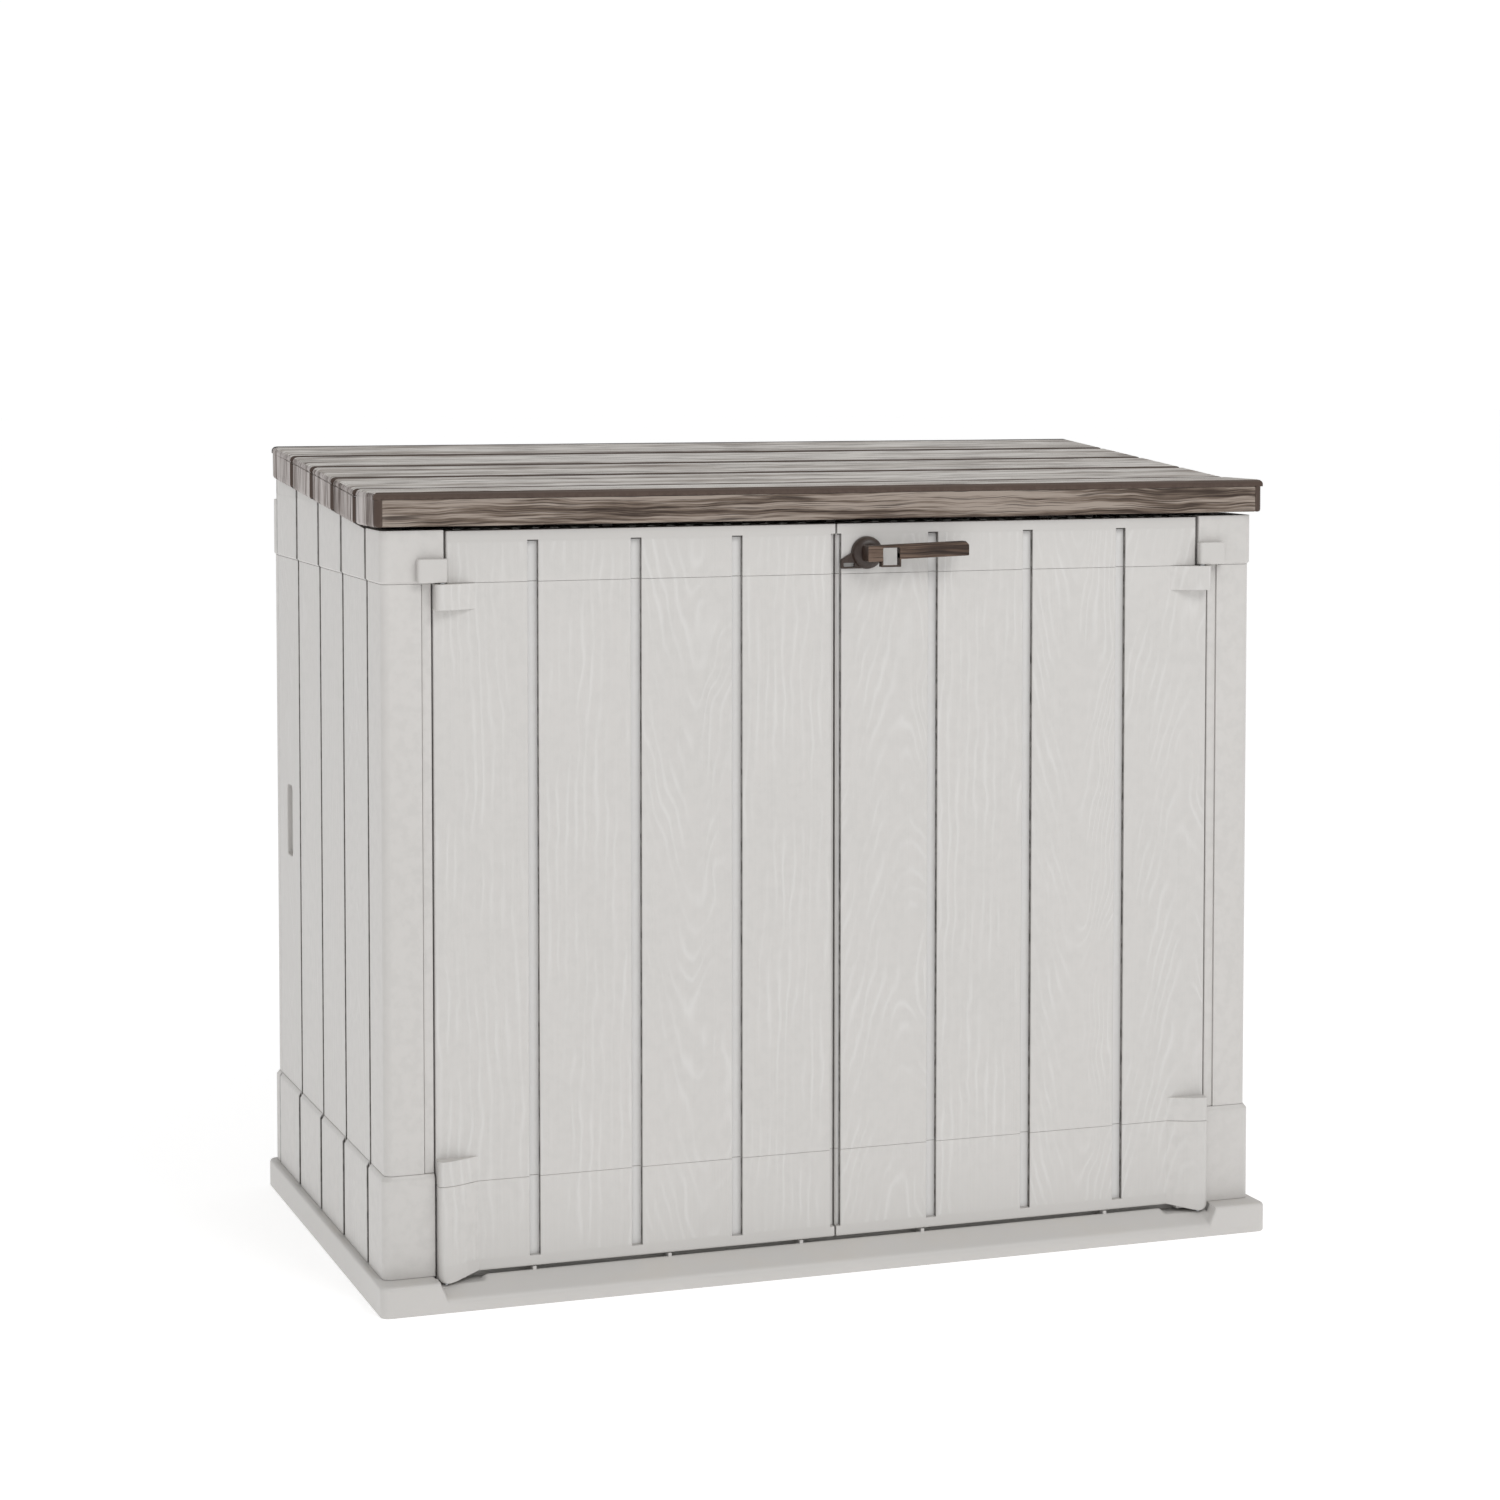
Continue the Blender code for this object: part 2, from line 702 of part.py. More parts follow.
def make_handle(wood, metal):
    """The lever with its boss and padlock loop, the square spindle, and the cam inside the door."""
    x, z = handle_x, handle_height
    boss = boss_width / 2
    loop_start = x + boss - 0.002
    loop_end = loop_start + loop_width
    grip_low = z - grip_below
    rise = grip_rise
    tip = x + grip_end
    bevel = grip_end_bevel
    outline = [
        (x - boss, z - boss), (loop_start, z - boss), (loop_start, z - loop_drop),
        (loop_end, z - loop_drop), (loop_end, grip_low + 0.001), (tip, grip_low + rise),
        (tip, grip_low + rise + grip_height - bevel),
        (tip - bevel, grip_low + rise + grip_height), (x - boss, z + boss),
    ]
    lever = prism("handle_lever", outline, "Y", grip_front_y, grip_front_y + grip_thickness, wood)
    window = block(
        "window",
        (loop_start + loop_frame, grip_front_y - 0.01, z - loop_drop + loop_frame),
        (loop_end - loop_frame, grip_front_y + 0.05, z + 0.006), wood,
    )
    cut(lever, window)
    back = rosette_top_y - 0.0005
    add(lever, block("boss", (x - boss, grip_front_y, z - boss), (x + boss, back, z + boss), wood))
    bar = spindle_width / 2
    socket = bar + gap
    front = grip_front_y + spindle_socket
    cut(lever, block("socket", (x - socket, front, z - socket), (x + socket, door_y, z + socket), wood))
    end = cam_y + cam_thickness
    spindle = block("handle_spindle", (x - bar, front + gap, z - bar), (x + bar, end, z + bar), metal)
    wide = cam_width / 2
    cam_outline = arc((x, z), wide, 0, 180, 8) + arc((x, z - cam_reach + wide), wide, 180, 360, 8)
    cam = prism("latch_cam", cam_outline, "Y", cam_y, cam_y + cam_thickness, metal)
    cut(cam, block("socket", (x - socket, front, z - socket), (x + socket, 0, z + socket), metal))
    cut(spindle, rod("bore", (x, end, z), "Y", screw_radius + gap, -0.012, 0.01, metal))
    screw = turned(
        "cam_screw", (x, end, z), "Y",
        [(screw_radius, -0.0115), (screw_radius, gap), (0.0075, gap), (0.0065, 0.003)], metal,
    )
    return lever, spindle, cam, screw


def make_rosette(finish):
    x, z = handle_x, handle_height
    low = door_y - gap
    profile = [(rosette_radius, 0), (rosette_radius, -0.004)]
    for i in range(1, 5):
        turn = math.radians(80 * i / 4)
        radius = 0.012 + (rosette_radius - 0.012) * math.cos(turn)
        profile.append((radius, -0.004 - (rosette_height - 0.004 - gap) * math.sin(turn)))
    rosette = turned("handle_rosette", (x, low, z), "Y", profile, finish, 28)
    ear = [
        (x + 0.004, z - 0.0215), (x - 0.0385, z - 0.0215), (x - 0.0385, z - 0.009),
        (x - 0.030, z - 0.004), (x - 0.012, z + 0.006), (x + 0.004, z + 0.006),
    ]
    add(rosette, prism("ear", ear, "Y", low - 0.005, low, finish))
    slot = rectangle(x - 0.0350, z - 0.0190, x - 0.0185, z - 0.0135)
    cut(rosette, prism("slot", slot, "Y", low - 0.05, low + 0.05, finish))
    cut(rosette, rod("bore", (x, low, z), "Y", spindle_hole_radius, -0.05, 0.05, finish))
    return rosette


def screw_in(name, x, z, front, metal):
    """A screw driven from inside into the door's back, at a plate whose inner face is at `front`."""
    profile = [
        (screw_radius, -screw_length), (screw_radius, gap),
        (screw_head_radius, gap), (screw_head_radius * 0.7, 0.0022),
    ]
    return turned(name, (x, front, z), "Y", profile, metal, 12)


def drill(target, x, z, front):
    finish = target.data.materials[0]
    radius = screw_radius + gap
    cut(target, rod("bore", (x, front, z), "Y", radius, -screw_length - 0.0005, 0.02, finish, 12))


def make_latch(door_left, door_right, metal):
    """The backplate on the right-hand door and the keeper on the left-hand one, with their screws."""
    x, z = handle_x, handle_height
    half = plate_width / 2
    high = min(z + plate_height / 2, rail_top - rail_lip_height - 0.002)
    plate = block(
        "latch_backplate", (x - half, backplate_y, z - plate_height / 2),
        (x + half, backplate_y + plate_thickness, high), metal,
    )
    bore = rod("bore", (x, 0, z), "Y", spindle_hole_radius, -0.5, 0, metal)
    cut(plate, bore)
    cut(door_right, rod("bore", (x, 0, z), "Y", spindle_hole_radius, -0.5, 0, metal))
    made = [plate]
    face = backplate_y + plate_thickness
    for word, side in (("inner", -1), ("outer", 1)):
        sx = x + side * plate_screw_spacing / 2
        sz = z - plate_screw_drop
        drill(plate, sx, sz, face)
        drill(door_right, sx, sz, face)
        made.append(screw_in(f"backplate_screw_{word}", sx, sz, face, metal))
    outer = -keeper_inner - keeper_width
    keeper = block(
        "latch_keeper", (outer, backplate_y, z - keeper_height / 2),
        (-keeper_inner, backplate_y + keeper_thickness, z + keeper_height / 2), metal,
    )
    # The screws sit in a shallow recess, so that the cam slides over them
    seat = backplate_y + keeper_thickness - keeper_recess
    step = -keeper_inner - keeper_bar
    cut(keeper, block("recess", (outer - 0.01, seat, z - 0.02), (step, 0, z + 0.02), metal))
    kept = [keeper]
    sx = (outer + step) / 2
    for word, side in (("upper", 1), ("lower", -1)):
        sz = z + side * keeper_screw_spacing / 2
        drill(keeper, sx, sz, seat)
        drill(door_left, sx, sz, seat)
        kept.append(screw_in(f"keeper_screw_{word}", sx, sz, seat, metal))
    return made, kept


def hang(pieces, name, place):
    """Hangs pieces on an empty that stands on their joint's axis."""
    pivot = bpy.data.objects.new(name, None)
    pivot.location = place
    bpy.context.scene.collection.objects.link(pivot)
    bpy.context.view_layer.update()
    for piece in pieces:
        piece.parent = pivot
        piece.matrix_parent_inverse = pivot.matrix_world.inverted()
    return pivot


def main():
    for old in list(bpy.data.objects):
        bpy.data.objects.remove(old)
    shell = material("shell plastic", (0.62, 0.60, 0.58), 0.45)
    base = material("plinth plastic", (0.60, 0.58, 0.56), 0.55)
    wood = material("weathered wood plastic", (0.24, 0.19, 0.16), 0.6)
    brown = material("brown plastic", (0.09, 0.05, 0.03), 0.45)
    steel = material("zinc steel", (0.55, 0.55, 0.56), 0.35, 1.0)

    plinth = make_plinth(base)
    make_rear_wall(shell)
    make_front_rail(shell)
    make_rear_rail(shell)
    doors = {}
    for side, word in ((-1, "left"), (1, "right")):
        make_side_wall(side, word, shell)
        posts = make_front_post(side, word, shell)
        doors[word] = list(make_door(side, word, shell))
        make_door_hinges(side, word, plinth, posts[2], shell, steel)
    lid = make_lid(wood, brown)
    for i, word in ((-1, "left"), (0, "centre"), (1, "right")):
        _, _, knuckle = make_lid_hinge(i * lid_hinge_spacing, word, brown, steel)
        lid.append(knuckle)
    handle = make_handle(wood, steel)
    rosette = make_rosette(brown)
    latch, kept = make_latch(doors["left"][2], doors["right"][2], steel)

    hang(doors["left"] + kept, "door_left_axis", (-hinge_x, hinge_y, 0))
    right = hang(doors["right"] + [rosette] + latch, "door_right_axis", (hinge_x, hinge_y, 0))
    grip = hang(handle, "handle_axis", (handle_x, door_y, handle_height))
    bpy.context.view_layer.update()
    grip.parent = right
    grip.matrix_parent_inverse = right.matrix_world.inverted()
    hang(lid, "lid_axis", (0, lid_axis_y, lid_axis_z))


main()
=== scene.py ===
import math
import bmesh
import bpy
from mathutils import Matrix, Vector, noise


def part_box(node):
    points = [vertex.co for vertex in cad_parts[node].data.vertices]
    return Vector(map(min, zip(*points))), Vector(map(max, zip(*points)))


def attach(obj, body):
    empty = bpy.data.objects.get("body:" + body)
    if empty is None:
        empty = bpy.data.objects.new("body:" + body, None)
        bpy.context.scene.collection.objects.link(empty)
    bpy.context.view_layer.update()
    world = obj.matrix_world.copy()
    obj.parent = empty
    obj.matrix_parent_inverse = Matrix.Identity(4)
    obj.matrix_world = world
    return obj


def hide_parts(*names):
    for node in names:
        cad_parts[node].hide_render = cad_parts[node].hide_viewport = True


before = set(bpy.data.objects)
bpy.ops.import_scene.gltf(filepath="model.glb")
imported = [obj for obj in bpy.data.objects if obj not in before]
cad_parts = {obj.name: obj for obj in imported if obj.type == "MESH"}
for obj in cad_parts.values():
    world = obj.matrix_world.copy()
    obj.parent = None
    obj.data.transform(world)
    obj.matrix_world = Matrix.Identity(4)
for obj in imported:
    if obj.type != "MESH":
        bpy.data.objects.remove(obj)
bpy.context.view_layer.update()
print("deck box: frame loaded,", len(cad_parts), "nodes")

# Main planes of the body, taken from the frame
body = {
    "half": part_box("left_wall_middle")[0].x * -1,
    "wallInner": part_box("left_wall_middle")[1].x * -1,
    "doorFace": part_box("door_left_upper")[0].y,
    "doorBack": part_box("door_left_upper")[1].y,
    "rearFace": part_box("rear_wall_middle")[1].y,
    "floor": 0.018,
    "sideSeam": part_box("left_wall_middle")[0].y,
    "rearSeam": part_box("left_wall_middle")[1].y,
}
quarterTurn = math.pi / 2


def arcPoints(centre, radius, start, end, steps):
    made = []
    for i in range(steps + 1):
        turn = math.radians(start + (end - start) * i / steps)
        made.append((centre[0] + radius * math.cos(turn), centre[1] + radius * math.sin(turn)))
    return made


def eased(outline, radius, steps=3):
    # rounds the corners of a closed outline; radius is one value or one for each corner
    made = []
    count = len(outline)
    for i in range(count):
        size = radius[i] if isinstance(radius, list) else radius
        here = Vector(outline[i])
        back = Vector(outline[i - 1]) - here
        ahead = Vector(outline[(i + 1) % count]) - here
        turn = back.angle(ahead)
        if size <= 0 or turn > math.radians(172):
            made.append(here)
            continue
        reach = min(size / math.tan(turn / 2), 0.45 * back.length, 0.45 * ahead.length)
        first = here + back.normalized() * reach
        last = here + ahead.normalized() * reach
        for k in range(steps + 1):
            t = k / steps
            made.append(first * (1 - t) ** 2 + here * 2 * t * (1 - t) + last * t ** 2)
    return made


def inset(outline, amount):
    # moves every side of a closed outline inwards
    count = len(outline)
    points = [Vector(p) for p in outline]
    area = sum(points[i - 1].cross(points[i]) for i in range(count))
    turn = 1 if area > 0 else -1
    made = []
    for i in range(count):
        before = (points[i] - points[i - 1]).normalized()
        after = (points[(i + 1) % count] - points[i]).normalized()
        one = Vector((-before.y, before.x)) * turn
        two = Vector((-after.y, after.x)) * turn
        made.append(points[i] + (one + two) * (amount / max(0.3, 1 + one.dot(two))))
    return made


def densified(outline, step):
    made = []
    for i in range(len(outline)):
        here, after = Vector(outline[i]), Vector(outline[(i + 1) % len(outline)])
        pieces = max(1, math.ceil((after - here).length / step))
        made += [here.lerp(after, k / pieces) for k in range(pieces)]
    return made


def easedEnds(low, high, edge, steps=3):
    # stations for a loft with rounded ends: (place, inset)
    turns = [quarterTurn * k / steps for k in range(steps + 1)]
    first = [(low + edge * (1 - math.cos(t)), edge * (1 - math.sin(t))) for t in turns]
    last = [(high - edge * (1 - math.cos(t)), edge * (1 - math.sin(t))) for t in reversed(turns)]
    return first + last


def addLoft(shape, rings):
    built = [[shape.verts.new(p) for p in ring] for ring in rings]
    count = len(built[0])
    for lower, upper in zip(built, built[1:]):
        for i in range(count):
            j = (i + 1) % count
            shape.faces.new((lower[i], lower[j], upper[j], upper[i]))
    shape.faces.new(list(reversed(built[0])))
    shape.faces.new(built[-1])


def placed(point, axis, along):
    if axis == "X":
        return Vector((along, point[0], point[1]))
    if axis == "Y":
        return Vector((point[0], along, point[1]))
    return Vector((point[0], point[1], along))


def addBar(shape, outline, axis, low, high, edge):
    # an outline pushed along an axis, with its end edges rounded
    rings = []
    for along, amount in easedEnds(low, high, edge):
        rings.append([placed(p, axis, along) for p in inset(outline, amount)])
    addLoft(shape, rings)


def addBox(shape, low, high, edge):
    corners = [(low[0], low[1]), (high[0], low[1]), (high[0], high[1]), (low[0], high[1])]
    addBar(shape, eased(corners, edge * 1.5), "Z", low[2], high[2], edge)


def addTurned(shape, centre, profile, segments=40):
    # turned about an axis along Y; profile is (radius, distance along the axis)
    rings = []
    for radius, distance in profile:
        ring = []
        for i in range(segments):
            turn = 2 * math.pi * i / segments
            spot = (centre[0] + radius * math.cos(turn), centre[2] + radius * math.sin(turn))
            ring.append(placed(spot, "Y", centre[1] + distance))
        rings.append(ring)
    addLoft(shape, rings)


def finished(shape, name, material, rides, nodes=(), sharp=34):
    # turns a bmesh into a piece that rides on its body and stands for its frame nodes
    bmesh.ops.remove_doubles(shape, verts=shape.verts, dist=1e-6)
    bmesh.ops.recalc_face_normals(shape, faces=shape.faces)
    mesh = bpy.data.meshes.new(name)
    shape.to_mesh(mesh)
    shape.free()
    mesh.shade_smooth()
    mesh.set_sharp_from_angle(angle=math.radians(sharp))
    for each in material if isinstance(material, list) else [material]:
        mesh.materials.append(each)
    piece = bpy.data.objects.new(name, mesh)
    bpy.context.scene.collection.objects.link(piece)
    weighted = piece.modifiers.new("evenShading", "WEIGHTED_NORMAL")
    weighted.keep_sharp = True
    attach(piece, rides)
    if nodes:
        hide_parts(*nodes)
    return piece


def cutOut(shape, cutter):
    # takes one closed mesh out of another
    pair = []
    for source in (shape, cutter):
        bmesh.ops.recalc_face_normals(source, faces=source.faces)
        mesh = bpy.data.meshes.new("cutting")
        source.to_mesh(mesh)
        source.free()
        made = bpy.data.objects.new("cutting", mesh)
        bpy.context.scene.collection.objects.link(made)
        pair.append(made)
    step = pair[0].modifiers.new("cut", "BOOLEAN")
    step.operation = "DIFFERENCE"
    step.object = pair[1]
    step.solver = "EXACT"
    bpy.context.view_layer.update()
    result = bmesh.new()
    result.from_mesh(pair[0].evaluated_get(bpy.context.evaluated_depsgraph_get()).data)
    for made in pair:
        bpy.data.objects.remove(made)
    return result


def roughened(piece, amount, stretch, seed, only=None):
    # pushes the surface in and out by a stretched noise
    for vertex in piece.data.vertices:
        if only and not only(vertex.co):
            continue
        at = Vector((vertex.co[i] * stretch[i] + seed for i in range(3)))
        vertex.co += vertex.normal * (amount * noise.noise(at))


def smoothStep(value, low, high):
    t = min(1, max(0, (value - low) / (high - low)))
    return t * t * (3 - 2 * t)


def feed(tree, socket, value):
    if isinstance(value, bpy.types.NodeSocket):
        tree.links.new(value, socket)
    else:
        socket.default_value = value


def sums(tree, operation, *values):
    node = tree.nodes.new("ShaderNodeMath")
    node.operation = operation
    for socket, value in zip(node.inputs, values):
        feed(tree, socket, value)
    return node.outputs[0]


def times(tree, one, two):
    return sums(tree, "MULTIPLY", one, two)


def plus(tree, one, two):
    return sums(tree, "ADD", one, two)


def minus(tree, one, two):
    return sums(tree, "SUBTRACT", one, two)


def absolute(tree, value):
    return sums(tree, "ABSOLUTE", value)


def ramped(tree, value, low, high, toLow=0.0, toHigh=1.0):
    node = tree.nodes.new("ShaderNodeMapRange")
    node.interpolation_type = "SMOOTHSTEP"
    names = ("Value", "From Min", "From Max", "To Min", "To Max")
    for name, each in zip(names, (value, low, high, toLow, toHigh)):
        feed(tree, node.inputs[name], each)
    return node.outputs["Result"]


def blended(tree, share, one, two, mode="MIX"):
    node = tree.nodes.new("ShaderNodeMix")
    node.data_type = "RGBA"
    node.blend_type = mode
    node.clamp_factor = True
    feed(tree, node.inputs["Factor"], share)
    feed(tree, node.inputs["A"], one)
    feed(tree, node.inputs["B"], two)
    return node.outputs["Result"]


def noised(tree, vector, scale, detail=3.0, roughness=0.5):
    node = tree.nodes.new("ShaderNodeTexNoise")
    feed(tree, node.inputs["Vector"], vector)
    feed(tree, node.inputs["Scale"], scale)
    node.inputs["Detail"].default_value = detail
    node.inputs["Roughness"].default_value = roughness
    return node.outputs["Fac"]


def joinedXyz(tree, x, y, z):
    node = tree.nodes.new("ShaderNodeCombineXYZ")
    for socket, value in zip(node.inputs, (x, y, z)):
        feed(tree, socket, value)
    return node.outputs[0]


def splitXyz(tree, vector):
    node = tree.nodes.new("ShaderNodeSeparateXYZ")
    tree.links.new(vector, node.inputs[0])
    return node.outputs


def linear(red, green, blue):
    # a colour from its 0-255 values
    made = []
    for value in (red, green, blue):
        v = value / 255
        made.append(v / 12.92 if v <= 0.04045 else ((v + 0.055) / 1.055) ** 2.4)
    return (*made, 1.0)


def newGroup(name, inputs, outputs):
    group = bpy.data.node_groups.new(name, "ShaderNodeTree")
    for word, kind, value in inputs:
        socket = group.interface.new_socket(word, in_out="INPUT", socket_type=kind)
        if value is not None:
            socket.default_value = value
    for word, kind in outputs:
        group.interface.new_socket(word, in_out="OUTPUT", socket_type=kind)
    return group, group.nodes.new("NodeGroupInput").outputs, group.nodes.new("NodeGroupOutput").inputs


def placedGroup(tree, group, **values):
    node = tree.nodes.new("ShaderNodeGroup")
    node.node_tree = group
    for word, value in values.items():
        feed(tree, node.inputs[word], value)
    return node.outputs


number, vectorKind = "NodeSocketFloat", "NodeSocketVector"

# The arched and the nearly straight grain of the moulded planks
grainShape = {
    "archedShare": 0.68,
    "wander": (1.1, 3.4, 2.0),
    "ripple": (5.0, 13.0, 1.5),
    "patches": (3.0, 7.0, 2.0),
    "fibres": (70.0, 5.0, 2.0),
    "offMiddle": 0.55,
    "offPlank": 0.9,
    "bend": 0.62,
    "tipRadius": 0.012,
    "archedRate": 17.0,
    "straightRate": 1.5,
    "pooling": 9.0,
    "rippling": 1.3,
    "sharpness": 3.2,
    "fibreShare": 0.5,
    "plankShade": 0.25,
}


def makePlankGrain():
    # moulded wood grain: arched lines on some planks, nearly straight ones on the others
    group, given, out = newGroup(
        "plankGrain",
        [("Across", number, 0), ("Along", number, 0), ("Seed", number, 0), ("Lines", number, 19)],
        [("Relief", number), ("Shade", number)],
    )
    g = grainShape
    plank = sums(group, "FLOOR", given["Across"])
    inside = minus(group, sums(group, "FRACT", given["Across"]), 0.5)

    def stretched(across, along, detail):
        x, z = times(group, given["Across"], across), times(group, given["Along"], along)
        place = joinedXyz(group, x, plank, z)
        return noised(group, place, 1.0, detail)

    # three values that each plank draws for itself
    dice = group.nodes.new("ShaderNodeTexWhiteNoise")
    dice.noise_dimensions = "1D"
    group.links.new(plus(group, times(group, plank, 3.17), given["Seed"]), dice.inputs["W"])
    dies = group.nodes.new("ShaderNodeSeparateColor")
    group.links.new(dice.outputs["Color"], dies.inputs[0])
    first, second, third = dies.outputs
    arched = sums(group, "LESS_THAN", second, g["archedShare"])
    middle = times(group, minus(group, first, 0.5), g["offMiddle"])
    aside = times(group, minus(group, 1.0, arched), g["offPlank"])
    shift = minus(group, inside, plus(group, middle, aside))
    heading = minus(group, times(group, sums(group, "GREATER_THAN", third, 0.5), 2.0), 1.0)
    wander = stretched(*g["wander"])
    ripple = stretched(*g["ripple"])
    # a line runs wherever the spread across and the climb along add up to a whole number
    bend = plus(group, shift, times(group, minus(group, wander, 0.5), g["bend"]))
    spread = sums(group, "SQRT", plus(group, times(group, bend, bend), g["tipRadius"]))
    rate = plus(group, times(group, arched, g["archedRate"]), g["straightRate"])
    climb = times(group, times(group, given["Along"], rate), heading)
    pool = times(group, minus(group, wander, 0.5), g["pooling"])
    phase = plus(group, times(group, spread, given["Lines"]), plus(group, climb, pool))
    phase = plus(group, phase, times(group, ripple, g["rippling"]))
    wave = sums(group, "COSINE", times(group, phase, 2 * math.pi))
    line = sums(group, "POWER", plus(group, times(group, wave, 0.5), 0.5), g["sharpness"])
    fade = ramped(group, stretched(*g["patches"]), 0.40, 0.66, 0.06, 1.0)
    fibre = stretched(*g["fibres"])
    relief = plus(group, times(group, line, fade), times(group, fibre, g["fibreShare"]))
    group.links.new(relief, out["Relief"])
    tone = plus(group, times(group, third, g["plankShade"]), times(group, wander, 1 - g["plankShade"]))
    group.links.new(tone, out["Shade"])
    return group


def makeWoodStreaks():
    # weathered timber: long streaks, fine fibres and short dark checks along the grain
    group, given, out = newGroup(
        "woodStreaks",
        [("Vector", vectorKind, None), ("Seed", number, 0), ("Fineness", number, 1.0)],
        [("Tone", number), ("Checks", number), ("Relief", number)],
    )
    along, across, through = splitXyz(group, given["Vector"])
    drift = noised(group, given["Vector"], 7.0, 2.0)
    bent = plus(group, across, times(group, minus(group, drift, 0.5), 0.026))
    bent = times(group, bent, given["Fineness"])

    def layer(lengthwise, crosswise, detail, rough):
        place = joinedXyz(
            group,
            plus(group, times(group, along, lengthwise), given["Seed"]),
            times(group, bent, crosswise),
            times(group, through, crosswise * 0.4),
        )
        return noised(group, place, 1.0, detail, rough)

    broad = layer(2.4, 30.0, 3.0, 0.55)
    fibre = layer(9.0, 190.0, 4.0, 0.65)
    knots = layer(10.0, 105.0, 3.0, 0.6)
    cracks = layer(9.0, 260.0, 2.0, 0.5)
    tone = plus(group, times(group, broad, 0.42), times(group, fibre, 0.33))
    tone = plus(group, tone, times(group, knots, 0.25))
    group.links.new(ramped(group, tone, 0.38, 0.60), out["Tone"])
    group.links.new(ramped(group, cracks, 0.56, 0.63), out["Checks"])
    raised = plus(group, times(group, fibre, 0.6), times(group, knots, 0.5))
    opened = times(group, ramped(group, cracks, 0.58, 0.72), 0.55)
    group.links.new(minus(group, raised, opened), out["Relief"])
    return group


def makeEdgeWearAndCornerShade():
    # convex edges rub lighter with wear, and concave corners get painted shade
    group, given, out = newGroup(
        "edgeWearAndCornerShade",
        [("Vector", vectorKind, None), ("Breakup", number, 60.0)],
        [("Edge", number), ("Corner", number)],
    )
    around = group.nodes.new("ShaderNodeNewGeometry").outputs["Pointiness"]
    patch = noised(group, given["Vector"], given["Breakup"], 3.0, 0.6)
    edge = times(group, ramped(group, around, 0.515, 0.60), ramped(group, patch, 0.35, 0.6))
    group.links.new(edge, out["Edge"])
    # Corner: painted shade in concave corners
    group.links.new(ramped(group, around, 0.49, 0.42), out["Corner"])
    return group


def makeDust():
    # a patchy film on the faces that look up
    group, given, out = newGroup(
        "dust",
        [("Vector", vectorKind, None), ("Normal", vectorKind, None), ("Scale", number, 9.0)],
        [("Mask", number)],
    )
    up = ramped(group, splitXyz(group, given["Normal"])[2], 0.35, 0.95)
    cloud = ramped(group, noised(group, given["Vector"], given["Scale"], 5.0, 0.65), 0.42, 0.68)
    group.links.new(times(group, up, cloud), out["Mask"])
    return group


def makeMouldedSkin():
    # the fine texture of moulded plastic, with faint flow marks
    group, given, out = newGroup(
        "mouldedSkin",
        [("Vector", vectorKind, None), ("Scale", number, 900.0)],
        [("Height", number), ("Mottle", number)],
    )
    fine = noised(group, given["Vector"], given["Scale"], 2.0, 0.6)
    slow = noised(group, given["Vector"], 4.5, 3.0, 0.5)
    group.links.new(plus(group, fine, times(group, slow, 0.4)), out["Height"])
    group.links.new(slow, out["Mottle"])
    return group


plankGrain = makePlankGrain()
woodStreaks = makeWoodStreaks()
edgeWearAndCornerShade = makeEdgeWearAndCornerShade()
dust = makeDust()
mouldedSkin = makeMouldedSkin()
print("deck box: shared effects made")


def startMaterial(name, roughness, metallic=0.0, specular=0.5):
    made = bpy.data.materials.new(name)
    made.use_nodes = True
    tree = made.node_tree
    shader = tree.nodes["Principled BSDF"]
    shader.inputs["Roughness"].default_value = roughness
    shader.inputs["Metallic"].default_value = metallic
    shader.inputs["Specular IOR Level"].default_value = specular
    source = tree.nodes.new("ShaderNodeTexCoord").outputs
    return made, tree, shader, source["Object"], source["Normal"]


def addBump(tree, shader, height, depth):
    bump = tree.nodes.new("ShaderNodeBump")
    bump.inputs["Strength"].default_value = 1.0
    bump.inputs["Distance"].default_value = depth
    tree.links.new(height, bump.inputs["Height"])
    tree.links.new(bump.outputs["Normal"], shader.inputs["Normal"])


shellLook = {
    "colour": linear(199, 196, 193),
    "light": linear(209, 206, 203),
    "shade": linear(190, 188, 185),
    # groove: the colour of the painted shade in the plank grooves and in concave corners
    "groove": linear(62, 58, 54),
    "film": linear(196, 188, 176),
    "roughness": 0.42,
    "grainDepth": 0.00045,
}
white = (1, 1, 1, 1)


